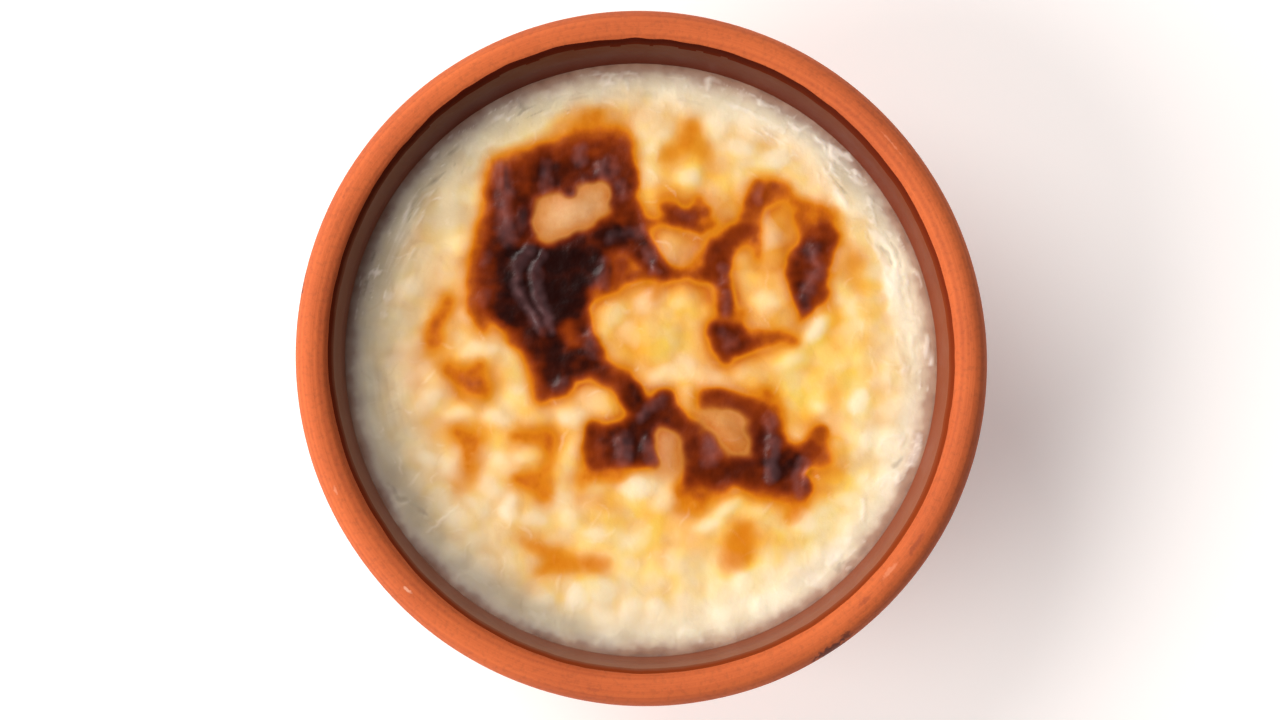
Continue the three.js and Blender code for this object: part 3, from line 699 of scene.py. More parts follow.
def small_grains():
    """The grains between the ones that stand out, each its own size, turn, paleness and height."""
    pick = np.random.default_rng(SEED + 1)
    grains = []
    for x, y in scattered(SMALL_GRAINS, SMALL_SPACING, SMALL_REACH, SEED + 2):
        if all(math.hypot(x - lump[0], y - lump[1]) > CLEAR_OF_LUMPS for lump in LUMPS):
            grains.append((x, y, pick.uniform(2.4, 4.0), pick.uniform(1.6, 2.5), pick.uniform(0, math.pi),
                           pick.uniform(0.0, 0.45), pick.uniform(0.1, 0.4)))
    return grains


def hairlines():
    """Short fine wrinkles of the drying skin, each a bent line a few millimetres long."""
    pick = np.random.default_rng(SEED + 4)
    total = np.zeros_like(GX)
    for x, y in scattered(HAIRLINES, HAIR_SPACING, HAIR_REACH, SEED + 5):
        outer = math.hypot(x, y) > RADIAL_FROM
        turn = math.atan2(y, x) + pick.normal(0, 0.5) if outer else pick.uniform(0, math.pi)
        half, bend, rise = pick.uniform(0.6, 2.0), pick.uniform(-0.6, 0.6), pick.uniform(-0.6, 1.0)
        near, along, across = turned_about(x, y, HAIR_WINDOW, turn)
        bent = across - bend * (along / half) ** 2
        total[near] += rise * np.exp(-(bent / HAIR_WIDTH) ** 2) * np.exp(-(along / half) ** 4)
    return total


def painted_sheen(strokes):
    """Broad soft patches round the blisters: painted sheen, the windows' reflection painted onto the burnt
    skin.
    """
    total = np.zeros_like(GX)
    wx, wy = swayed(GX, GY, SHEEN_SWAYS)
    for rise, half, points in strokes:
        depth = stroke_depth(wx, wy, [(x, y, 0.0) for x, y in points])
        width = 0.45 + 0.75 * half
        total = np.maximum(total, smooth(0.15, 0.5, rise) * np.exp(-(depth / width) ** 2))
    patchy = 0.75 + 0.5 * drift(1.6, 58, 2)
    return total * patchy


def creased(strokes):
    """Folds and creases with round crests, faded here and there."""
    total = np.zeros_like(GX)
    wx, wy = swayed(GX, GY, FOLD_SWAYS)
    fading = smooth(-0.6, 0.4, drift(3.0, 55))
    for rise, half, points in strokes:
        depth = stroke_depth(wx, wy, [(x, y, 0.0) for x, y in points])
        total += rise * fading * np.exp(-(depth / half) ** 2)
    return total


def strands():
    """Fine strands of milk skin along the wall, where the skin shrank away from it; broken and uneven."""
    along = np.radians((AZIMUTH + STRAND_START) % 360) * STRAND_RADIUS
    reach = GR + 1.0 * drift(7.0, 71, 2) + 0.3 * drift(1.8, 72)
    # each family of strands: how far they stretch along the wall, width (mm), seed, how thin their crests are
    line = {}
    for name, stretch, width, seed, crest in (
        ("coarse", 6, 1.5, 73, 0.78),
        ("fine", 4, 0.8, 74, 0.72),
        ("long_dark", 12, 1.3, 79, 0.84),
        ("long_pale", 9, 1.0, 78, 0.80),
    ):
        line[name] = smooth(crest, 1.0, 1 - np.abs(noise(along / stretch, reach, width, seed)))
    broken = smooth(-0.25, 0.35, drift(3.5, 75, 2))
    ring = smooth(42.0, 46.0, GR) * smooth(WALL_AT, 50.2, GR)
    # the skin dried white from the lower right to the top, where its pale lines are dried milk and painted
    # highlight; at the upper left, the shaded side, the lines are painted highlight and painted shade
    # (degrees)
    dried = smooth(-70, -40, AZIMUTH) * smooth(105, 85, AZIMUTH)
    shaded_side_weight = smooth(92, 110, AZIMUTH) * smooth(179, 165, AZIMUTH)
    rest = 1 - np.maximum(dried, shaded_side_weight)
    pale_and_highlit_lines = (line["coarse"] + 0.7 * line["fine"]) * broken * (0.30 * dried + 0.08 * rest)
    faded = 0.35 + 0.65 * broken
    shaded_side_lines = shaded_side_weight * faded * (0.32 * line["long_pale"] - 0.30 * line["long_dark"])
    return ring * (pale_and_highlit_lines + shaded_side_lines)


def toast_map():
    """How far the skin toasted, 0 to 1: less towards the wall, more round the scorch and between grains."""
    total = TOAST_IN_THE_MIDDLE - TOAST_LOST * GR / LOST_AT
    # what toasts it more or less: by how much, and where
    for share, field in (
        (2.1, blurred(heat, 1.0)),
        (0.45, blurred(heat, 3.0)),
        (1.0, washed(TOASTED, 0.6)),
        (-1.0, washed(SPARED, 0.6)),
        (0.07, gap - 0.35),
        (0.05, tint),
        (-0.12, pale),
        (0.10, drift(3.5, 33, 2)),
    ):
        total = total + share * field
    return np.clip(total * (1 - SHADE_OF_GRAINS * island), 0, 1)


def film_map():
    """Where the milk thins out into a film on the wall: 0 on the skin, 1 where only the wall shows."""
    starts_at = np.interp(AZIMUTH % 360, *zip(*FILM_START))
    reach = GR + 0.6 * drift(4.0, 31, 2) + 0.45 * drift(1.3, 76, 2)
    thinned = np.clip((reach - starts_at) / (WALL_AT - starts_at), 0, 1)
    return 0.75 * thinned + 0.25 * smooth(0, 1, thinned)


def height_map():
    """The skin's height: it sags, climbs the wall, rises over grains and folds, and puckers where burnt."""
    char = smooth(0.5, 0.85, scorch)
    wrinkles = np.sin(GR * 4.6 + 3.5 * drift(6.0, 43)) * smooth(-0.1, 0.6, drift(8.0, 44))
    total = SKIN_LEVEL - SKIN_SAG * (1 - (GR / SKIN_RADIUS) ** 2)
    # what raises or lowers it: by how much (mm), and where
    for rise, field in (
        (MENISCUS_HEIGHT, np.exp((GR - SKIN_RADIUS) / MENISCUS_WIDTH)),
        (0.8, lumps * (1 - 0.5 * char) * smooth(51.7, 49.0, GR)),
        (0.28, drift(7.0, 45, 2) * smooth(51.5, 46, GR)),
        (0.14, char * drift(3.0, 41, 2)),
        (0.7, blisters),
        (0.45, folds),
        (0.05, milky * wrinkles),
        (0.04, hairs * (1 - char) * smooth(51.5, 50, GR)),
        (0.03, drift(1.2, 46, 2)),
    ):
        total = total + rise * field
    return total


SWAYED_X, SWAYED_Y = swayed(GX, GY, GRAIN_SWAYS)
seen = [(x, y, a, b, math.radians(turn), fair, lift) for x, y, a, b, turn, fair, lift in LUMPS]
scorch, heat, island = scorch_map()
hairs = hairlines()
lumps, pale, tint, gap = (blurred(field, GRAIN_SPREAD) for field in lay_grains(seen + small_grains()))
lumps = blurred(lumps, GRAIN_SPREAD)
folds = creased(FOLDS) + strands()
blisters = creased(BLISTERS)
milky = washed(MILKY, 1.0)
height = height_map()

# What the skin's material reads at each point.
SKIN_FIELDS = {
    "scorch": scorch,
    "golden": washed(GOLDEN, 1.2),
    "toast": toast_map(),
    "milky": milky,
    "white": washed(WHITE, 0.8),
    "pale": pale,
    "fold": folds,
    "film": film_map(),
    "gap": gap,
    "tint": tint,
    "hair": hairs,
    "island": island,
    "sheen_patches": painted_sheen(BLISTERS),
    "edge_milk": 0.85 * smooth(44.5, 48.5, GR + 1.2 * drift(6.0, 32, 2)),
}
FULL_BELOW_THE_SKIN = ("milky", "film")


def at(field, x, y):
    """The field's value at places between the cells."""
    just_inside = cells - 1.001
    u = np.clip((x + HALF) / CELL - 0.5, 0, just_inside)
    v = np.clip((y + HALF) / CELL - 0.5, 0, just_inside)
    i, j = np.floor(u).astype(int), np.floor(v).astype(int)
    f, g = u - i, v - j
    low = field[i, j] * (1 - g) + field[i, j + 1] * g
    high = field[i + 1, j] * (1 - g) + field[i + 1, j + 1] * g
    return low * (1 - f) + high * f


# ---------------------------------------------------- profiles of the bowl (mm: radius, height)

# How many steps each stretch of the clay's outline has.
FOOT_STEPS = 9
OUTER_STEPS = 56
RIM_OUT_STEPS = 14
RIM_IN_STEPS = 10
INNER_STEPS = 28
FLOOR_STEPS = 4


def bezier(points, steps):
    """Points along the curve that four points lead."""
    t = np.linspace(0, 1, steps + 1)[:, None]
    a, b, c, d = (np.array(p, float) for p in points)
    return a * (1 - t) ** 3 + 3 * b * t * (1 - t) ** 2 + 3 * c * t * t * (1 - t) + d * t ** 3


def outer_wall(steps):
    """From the foot's edge up to the rim: it swells out like a thrown dish."""
    start = (FOOT_RADIUS + FOOT_ROUNDING * FOOT_FLARE, FOOT_ROUNDING)
    belly = (RIM_RADIUS * BELLY[0], BOWL_HEIGHT * BELLY[1])
    shoulder = (RIM_RADIUS * SHOULDER[0], BOWL_HEIGHT * SHOULDER[1])
    return bezier((start, belly, shoulder, (RIM_RADIUS, BOWL_HEIGHT - RIM_OUTER_DROP)), steps)


def inner_wall(steps):
    """From the mouth down to the floor, one wall thickness in."""
    shoulder = (RIM_RADIUS * SHOULDER[0] - SHOULDER_THICKNESS, BOWL_HEIGHT * INNER_SHOULDER_UP)
    belly = (RIM_RADIUS * INNER_BELLY[0], BOWL_HEIGHT * INNER_BELLY[1])
    return bezier(((MOUTH_RADIUS, MOUTH_HEIGHT), shoulder, belly, (FLOOR_RADIUS, FLOOR_THICKNESS)), steps)


def rim_arc(half_width, drop, level, start, end, steps):
    """Part of an ellipse round the rim's crest line."""
    a = np.linspace(start, end, steps + 1)
    middle = RIM_RADIUS - RIM_TOP_SETBACK
    return np.stack([middle + half_width * np.cos(a), level + drop * np.sin(a)], 1)


def clay_profile():
    """The clay's whole outline: from under the middle, up the outside, over the rim, down to the floor."""
    crest = math.pi / 2
    foot = np.linspace((0, 0), (FOOT_RADIUS, 0), FOOT_STEPS + 1)
    rim_out = rim_arc(
        RIM_TOP_SETBACK, RIM_OUTER_DROP, BOWL_HEIGHT - RIM_OUTER_DROP, 0, crest, RIM_OUT_STEPS)
    rim_in = rim_arc(
        RIM_WIDTH - RIM_TOP_SETBACK, RIM_INNER_DROP, MOUTH_HEIGHT, crest, math.pi, RIM_IN_STEPS)
    floor = np.linspace((FLOOR_RADIUS, FLOOR_THICKNESS), (0, FLOOR_THICKNESS), FLOOR_STEPS + 1)
    wall = outer_wall(OUTER_STEPS)
    return np.concatenate([foot, wall, rim_out[1:], rim_in[1:], inner_wall(INNER_STEPS)[1:], floor[1:]])


# ---------------------------------------------------- turning a profile on the wheel (Geometry Nodes)

# Where the throwing rings begin above the foot, and where they fade to a trace below the rim.
RINGS_START, RINGS_FULL = 3.0 * MM, 8.0 * MM
RINGS_FADE, RINGS_GONE = 44.0 * MM, 49.0 * MM
RINGS_ON_RIM = 0.12
NEAR_AXIS = 10.0 * MM
SPIRAL_WANDER = 1.4
RUB_SHARE = 1.2


def wheel_tree():
    """Sweeps the profile's points round +Z, with throwing rings and a slow wobble."""
    tree = bpy.data.node_groups.new("turned_on_the_wheel", "GeometryNodeTree")
    face = tree.interface
    face.new_socket("Geometry", in_out="INPUT", socket_type="NodeSocketGeometry")
    for name, kind, value in (
        ("Points along", "NodeSocketInt", 100),
        ("Steps round", "NodeSocketInt", 300),
        ("Ring depth", "NodeSocketFloat", 0.0),
        ("Ring spacing", "NodeSocketFloat", 0.0035),
        ("Wobble", "NodeSocketFloat", 0.0),
        ("Seed", "NodeSocketFloat", 1.0),
        ("Clay", "NodeSocketMaterial", None),
    ):
        socket = face.new_socket(name, in_out="INPUT", socket_type=kind)
        if value is not None:
            socket.default_value = value
    face.new_socket("Geometry", in_out="OUTPUT", socket_type="NodeSocketGeometry")
    given = add(tree, "NodeGroupInput").outputs
    full_turn = 2 * math.pi

    # a flat sheet, one column for each point of the profile and one row for each step round
    sheet = add(tree, "GeometryNodeMeshGrid", {
        "Size X": 1.0, "Size Y": 1.0,
        "Vertices X": given["Points along"], "Vertices Y": given["Steps round"]})
    place = add(tree, "GeometryNodeInputPosition").outputs[0]
    middle = add(tree, "ShaderNodeVectorMath", {0: place, 1: (0.5, 0.5, 0.0)}, operation="ADD").outputs[0]
    share = add(tree, "ShaderNodeSeparateXYZ", {0: middle}).outputs
    last = add(tree, "ShaderNodeMath", {0: given["Points along"], 1: 1.0}, operation="SUBTRACT").outputs[0]
    column = add(tree, "ShaderNodeMath", {0: share[0], 1: last}, operation="MULTIPLY").outputs[0]
    index = add(tree, "ShaderNodeMath", {0: column}, operation="ROUND").outputs[0]
    turn = add(tree, "ShaderNodeMath", {0: share[1], 1: full_turn}, operation="MULTIPLY").outputs[0]
    section = add(tree, "GeometryNodeSampleIndex", {
        "Geometry": given["Geometry"], "Value": place, "Index": index},
        data_type="FLOAT_VECTOR", domain="POINT")
    part = add(tree, "ShaderNodeSeparateXYZ", {0: section.outputs["Value"]}).outputs
    radius, level = part[0], part[2]
    sideways = add(tree, "ShaderNodeMath", {0: turn}, operation="COSINE").outputs[0]
    forwards = add(tree, "ShaderNodeMath", {0: turn}, operation="SINE").outputs[0]
    outward = add(tree, "ShaderNodeCombineXYZ", {0: sideways, 1: forwards}).outputs[0]
    lifted = add(tree, "ShaderNodeCombineXYZ", {2: level}).outputs[0]
    spot = add(tree, "ShaderNodeVectorMath", {0: outward, 1: radius, 2: lifted},
               operation="MULTIPLY_ADD").outputs[0]

    # the clay's unevenness: a fine one and a slow one
    rough, slow = (
        add(tree, "ShaderNodeTexNoise", {
            "Vector": spot, "Scale": scale, "Detail": detail, "W": given["Seed"]},
            noise_dimensions="4D").outputs["Fac"]
        for scale, detail in ((60.0, 3.0), (14.0, 1.0)))

    # throwing rings: a slow spiral up the wall, deeper and shallower as the thumb pressed; each step below
    # works on values that are already known by name
    known = {"level": level, "turn": turn, "rough": rough, "slow": slow, "radius": radius,
             "depth": given["Ring depth"], "spacing": given["Ring spacing"], "wobble": given["Wobble"]}
    for name, source, low, high, least, most in (
        ("on the wall", "level", RINGS_START, RINGS_FULL, 0.0, 1.0),
        ("off the rim", "level", RINGS_FADE, RINGS_GONE, 1.0, RINGS_ON_RIM),
        ("off the axis", "radius", 0.0, NEAR_AXIS, 0.0, 1.0),
    ):
        known[name] = add(tree, "ShaderNodeMapRange", {
            0: known[source], 1: low, 2: high, 3: least, 4: most}).outputs[0]
    for name, operation, first, second in (
        ("rows", "DIVIDE", "level", "spacing"),
        ("round", "DIVIDE", "turn", full_turn),
        ("spiral", "ADD", "rows", "round"),
        ("pressure", "MULTIPLY", "slow", SPIRAL_WANDER),
        ("pressed spiral", "ADD", "spiral", "pressure"),
        ("phase", "MULTIPLY", "pressed spiral", full_turn),
        ("wave", "SINE", "phase", 0.0),
        ("rings", "MULTIPLY", "wave", "depth"),
        ("where", "MULTIPLY", "on the wall", "off the rim"),
        ("rings here", "MULTIPLY", "rings", "where"),
        ("centred rough", "SUBTRACT", "rough", 0.5),
        ("rub depth", "MULTIPLY", "depth", RUB_SHARE),
        ("rub", "MULTIPLY", "centred rough", "rub depth"),
        ("centred slow", "SUBTRACT", "slow", 0.5),
        ("swell", "MULTIPLY", "centred slow", "wobble"),
        ("rings and rub", "ADD", "rings here", "rub"),
        ("out", "ADD", "rings and rub", "swell"),
        ("out here", "MULTIPLY", "out", "off the axis"),
        ("radius out", "ADD", "radius", "out here"),
    ):
        known[name] = add(tree, "ShaderNodeMath", {
            0: known[first], 1: known.get(second, second)}, operation=operation).outputs[0]

    placed = add(tree, "ShaderNodeVectorMath", {
        0: outward, 1: known["radius out"], 2: lifted}, operation="MULTIPLY_ADD").outputs[0]
    shaped = add(tree, "GeometryNodeSetPosition", {"Geometry": sheet.outputs["Mesh"], "Position": placed})
    closed = add(tree, "GeometryNodeMergeByDistance", {"Geometry": shaped.outputs[0], "Distance": 1e-6})
    whole = add(tree, "GeometryNodeRealizeInstances", {"Geometry": closed.outputs[0]})
    coated = add(tree, "GeometryNodeSetMaterial", {"Geometry": whole.outputs[0], "Material": given["Clay"]})
    add(tree, "NodeGroupOutput", {"Geometry": coated.outputs[0]})
    return tree


def evaluated(name, base, tree, inputs):
    """Runs the tree on the base mesh and returns the plain mesh it makes, as an object."""
    source = shown(name + "_source", base)
    modifier = source.modifiers.new("shape", "NODES")
    modifier.node_group = tree
    keys = {item.name: item.identifier for item in tree.interface.items_tree if item.in_out == "INPUT"}
    for label, value in inputs.items():
        modifier[keys[label]] = value
    bpy.context.view_layer.update()
    ready = source.evaluated_get(bpy.context.evaluated_depsgraph_get())
    mesh = bpy.data.meshes.new_from_object(ready)
    bpy.data.objects.remove(source)
    mesh.name = name
    return shown(name, mesh)


def polyline(name, section):
    """The profile as a chain of edges in the plane of X and Z."""
    mesh = bpy.data.meshes.new(name)
    places = [(r * MM, 0.0, z * MM) for r, z in section]
    mesh.from_pydata(places, [(i, i + 1) for i in range(len(places) - 1)], [])
    return mesh


def squeezed(x, y):
    """The kiln's ovality: wider along one direction, narrower across it."""
    c, s = math.cos(OVAL_AZIMUTH), math.sin(OVAL_AZIMUTH)
    along, across = (x * c + y * s) * (1 + OVALITY), (y * c - x * s) * (1 - OVALITY)
    return along * c - across * s, along * s + across * c


def squeeze_mesh(mesh):
    """The mesh after it moved in the kiln."""
    co = np.empty(len(mesh.vertices) * 3)
    mesh.vertices.foreach_get("co", co)
    co = co.reshape(-1, 3)
    co[:, 0], co[:, 1] = squeezed(co[:, 0], co[:, 1])
    mesh.vertices.foreach_set("co", co.ravel())


def face_outward(mesh):
    """Joins doubled points, turns every face outwards and shades the mesh smooth."""
    work = bmesh.new()
    work.from_mesh(mesh)
    bmesh.ops.remove_doubles(work, verts=work.verts, dist=1e-7)
    bmesh.ops.recalc_face_normals(work, faces=work.faces)
    work.to_mesh(mesh)
    work.free()
    mesh.shade_smooth()


# ---------------------------------------------------- materials


def new_material(name):
    """An empty material and its tree."""
    material = bpy.data.materials.new(name)
    material.use_nodes = True
    material.node_tree.nodes.clear()
    return material, material.node_tree


def surfaced(tree, sockets):
    """Ends a material: the surface shader with its values and links, led to the output."""
    surface = add(tree, "ShaderNodeBsdfPrincipled", sockets)
    add(tree, "ShaderNodeOutputMaterial", {"Surface": surface.outputs[0]})


def coat(tree, below, colour, field, low, high, most=1.0, blend="MIX"):
    """One more layer of a finish: none of it where the field is at low, the most where it is at high."""
    below, colour = (linear(tone) if isinstance(tone, str) else tone for tone in (below, colour))
    cover = add(tree, "ShaderNodeMapRange", {0: field, 1: low, 2: high, 3: 0.0, 4: most}).outputs[0]
    layers = {0: cover, 6: below, 7: colour}
    return add(tree, "ShaderNodeMix", layers, data_type="RGBA", blend_type=blend).outputs[2]


# Chips, rubs and scratches of the rim: azimuth (degrees), half length, radius, half width (mm), colour,
# how strong.
RIM_MARKS = (
    (-57.4, 3.4, 60.2, 0.7, "42120a", 0.9),
    (168.4, 2.5, 60.0, 0.6, "5c1c10", 0.85),
    (-53.8, 1.2, 59.8, 0.6, "42120a", 0.7),
    (225.2, 0.8, 56.8, 0.3, "eab496", 0.6),
    (-34.6, 2.6, 57.4, 0.45, "8e3a1c", 0.6),
    (-41.0, 2.0, 56.6, 0.4, "de8a62", 0.5),
    (204.0, 0.8, 57.4, 0.3, "e09a78", 0.4),
    (-47.5, 1.4, 57.0, 0.5, "8e3a1c", 0.5),
    (150.6, 1.6, 58.2, 0.35, "94401e", 0.5),
    (47.0, 3.6, 57.8, 0.22, "94401e", 0.45),
    (40.5, 3.0, 56.8, 0.2, "e08a62", 0.4),
    (262.0, 1.2, 58.0, 0.4, "94401e", 0.4),
)
RIM_STARTS, RIM_FULL = 46.5 * MM, 47.5 * MM
EDGE_DARKENS_FROM, EDGE_DARKEST_AT = 59.0 * MM, 60.2 * MM
EDGE_DARKENING = 0.3
MARK_RAGGEDNESS = 2.4
MARK_FULL, MARK_GONE = 1.7, 2.3


def terracotta():
    """Unglazed red clay, fired low and wiped smooth on the wheel: matt orange with drag lines and pits."""
    material, tree = new_material("terracotta_wiped_on_the_wheel")
    place = add(tree, "ShaderNodeTexCoord").outputs["Object"]
    part = add(tree, "ShaderNodeSeparateXYZ", {0: place}).outputs
    flat = add(tree, "ShaderNodeCombineXYZ", {0: part[0], 1: part[1]}).outputs[0]
    radius = add(tree, "ShaderNodeVectorMath", {0: flat}, operation="LENGTH").outputs["Value"]
    turned = add(tree, "ShaderNodeCombineXYZ", {0: radius, 1: part[2]}).outputs[0]
    cloud, grit, drag, ragged = (
        add(tree, "ShaderNodeTexNoise", {
            "Vector": vector, "Scale": scale, "Detail": detail, "Roughness": roughness}).outputs[0]
        for vector, scale, detail, roughness in (
            (place, 45.0, 4.0, 0.6),
            (place, 1100.0, 3.0, 0.65),
            (turned, 1500.0, 3.0, 0.6),
            (place, 1300.0, 3.0, 0.5)))
    body, lines, specks = (
        add(tree, "ShaderNodeValToRGB", {0: grain}, stops=stops).outputs[0]
        for grain, stops in (
            (cloud, ((0.3, "b24f20"), (0.7, "cc6229"), (0.5, "c05925"))),
            (drag, ((0.35, "a84a1e"), (0.65, "d66c32"))),
            (grit, ((0.36, 0.72), (0.5, 1.0)))))
    colour = add(tree, "ShaderNodeMix", {0: 0.35, 6: body, 7: lines}, data_type="RGBA").outputs[2]
    colour = add(tree, "ShaderNodeMix", {0: 0.5, 6: colour, 7: specks}, data_type="RGBA",
                 blend_type="MULTIPLY").outputs[2]

    # the marks lie on the rim only, each an oval with a ragged edge, measured round and across the rim
    bearing = add(tree, "ShaderNodeMath", {0: part[1], 1: part[0]}, operation="ARCTAN2").outputs[0]
    on_the_clay = add(tree, "ShaderNodeCombineXYZ", {0: bearing, 1: radius}).outputs[0]
    on_rim = add(tree, "ShaderNodeMapRange", {0: part[2], 1: RIM_STARTS, 2: RIM_FULL}).outputs[0]
    for azimuth, half_length, reach, half_width, shade, strength in RIM_MARKS:
        middle = (math.radians((azimuth + 180) % 360 - 180), reach * MM, 0.0)
        sizes = (reach / half_length, 1 / (half_width * MM), 0.0)
        away = add(tree, "ShaderNodeVectorMath", {0: on_the_clay, 1: middle},
                   operation="SUBTRACT").outputs[0]
        scaled = add(tree, "ShaderNodeVectorMath", {0: away, 1: sizes}, operation="MULTIPLY").outputs[0]
        apart = add(tree, "ShaderNodeVectorMath", {0: scaled}, operation="LENGTH").outputs["Value"]
        edge = add(tree, "ShaderNodeMath", {0: ragged, 1: MARK_RAGGEDNESS, 2: apart},
                   operation="MULTIPLY_ADD").outputs[0]
        cover = add(tree, "ShaderNodeMapRange", {
            0: edge, 1: MARK_FULL, 2: MARK_GONE, 3: strength, 4: 0.0}).outputs[0]
        cover = add(tree, "ShaderNodeMath", {0: cover, 1: on_rim}, operation="MULTIPLY").outputs[0]
        colour = add(tree, "ShaderNodeMix", {0: cover, 6: colour, 7: linear(shade)},
                     data_type="RGBA").outputs[2]
    # the rim is darker towards its outer edge
    outer_edge_darker = add(tree, "ShaderNodeMapRange", {
        0: radius, 1: EDGE_DARKENS_FROM, 2: EDGE_DARKEST_AT, 3: 0.0, 4: EDGE_DARKENING}).outputs[0]
    outer_edge_darker = add(tree, "ShaderNodeMath", {0: outer_edge_darker, 1: on_rim}, operation="MULTIPLY").outputs[0]
    colour = add(tree, "ShaderNodeMix", {0: outer_edge_darker, 6: colour, 7: linear("8a3a1c")},
                 data_type="RGBA").outputs[2]

    relief = add(tree, "ShaderNodeMath", {0: drag, 1: grit}, operation="ADD").outputs[0]
    bump = add(tree, "ShaderNodeBump", {"Height": relief, "Strength": 0.35, "Distance": 0.00025}).outputs[0]
    surfaced(tree, {"Base Color": colour, "Normal": bump, "Roughness": 0.82, "IOR": 1.5})
    return material


# Directions across the bowl: the side whose inner wall gets painted shade, and where milk dried on it as a
# haze.
SHADED_WALL_SIDE = (-0.26, 0.97, 0.0)
SPLASHED_SIDE = (-0.87, -0.5, 0.0)


def glaze(name, shine, roughness):
    """Clear glaze poured in and fired on red clay: wet chestnut brown, dark where it soaked into the lip,
    with painted shade on the windows' side.
    """
    material, tree = new_material(name)
    place = add(tree, "ShaderNodeTexCoord").outputs["Object"]
    cloud, ripple = (
        add(tree, "ShaderNodeTexNoise", {
            "Vector": place, "Scale": scale, "Detail": detail, "Roughness": uneven}).outputs[0]
        for scale, detail, uneven in ((90.0, 4.0, 0.6), (260.0, 2.0, 0.5)))
    side, splashed = (
        add(tree, "ShaderNodeVectorMath", {0: place, 1: direction},
            operation="DOT_PRODUCT").outputs["Value"]
        for direction in (SHADED_WALL_SIDE, SPLASHED_SIDE))
    # painted shade: the wall and its soaked lip are darker on the windows' side, whose inside faces away from
    # them
    painted_wall_shade = add(tree, "ShaderNodeMapRange", {0: side, 1: -0.05, 2: 0.05, 3: -0.15, 4: 0.85}).outputs[0]
    pooled_and_shaded = add(tree, "ShaderNodeMath", {0: cloud, 1: 0.3, 2: painted_wall_shade},
                 operation="MULTIPLY_ADD").outputs[0]
    colour, soaked = (
        add(tree, "ShaderNodeValToRGB", {0: pooled_and_shaded}, stops=stops).outputs[0]
        for stops in (
            ((0.0, "84452c"), (1.0, "551a08"), (0.4, "7c3618"), (0.7, "68250c")),
            ((0.0, "80320e"), (1.0, "451206"), (0.5, "6a220a"))))
    colour = coat(tree, colour, "845440", splashed, 0.005, 0.045, 0.95)
    from_edge = add(tree, "ShaderNodeAttribute", attribute_name="from_edge").outputs["Fac"]
    ragged = add(tree, "ShaderNodeMath", {0: cloud, 1: 0.5, 2: from_edge},
                 operation="MULTIPLY_ADD").outputs[0]
    colour = coat(tree, colour, soaked, ragged, 0.95, 0.55)
    bump = add(tree, "ShaderNodeBump", {"Height": ripple, "Strength": 0.25, "Distance": 0.0004}).outputs[0]
    surfaced(tree, {
        "Base Color": colour, "Normal": bump, "Roughness": roughness, "IOR": 1.5,
        "Specular IOR Level": shine})
    return material


# How each tone changes as the skin browns: the palest, the darkest, then those between.
PEACH = (
    (0.0, "ead8b0"), (1.0, "bc6008"), (0.2, "e2c08a"), (0.4, "dca868"), (0.6, "d49246"), (0.8, "c97a26"),
)
YELLOW = (
    (0.0, "ead48c"), (1.0, "c46a0c"), (0.2, "eac45a"), (0.4, "e6ac3c"), (0.6, "dd972a"), (0.8, "d08018"),
)
SPARED_GRAIN = ((0.0, "cf9c68"), (1.0, "b0621e"), (0.5, "c07e44"))
BURNT = (
    (0.0, "dc9a30"), (1.0, "1c0503"), (0.16, "d28608"), (0.26, "cd7804"), (0.36, "b85c02"),
    (0.44, "9c4604"), (0.54, "843204"), (0.66, "6c2403"), (0.78, "511803"), (0.88, "340d04"),
)
TANNED = (
    (0.0, "c8965a"), (1.0, "1c0503"), (0.12, "bd8448"), (0.25, "a8682e"), (0.36, "965220"),
    (0.48, "823c14"), (0.6, "6a270e"), (0.75, "4c1509"),
)


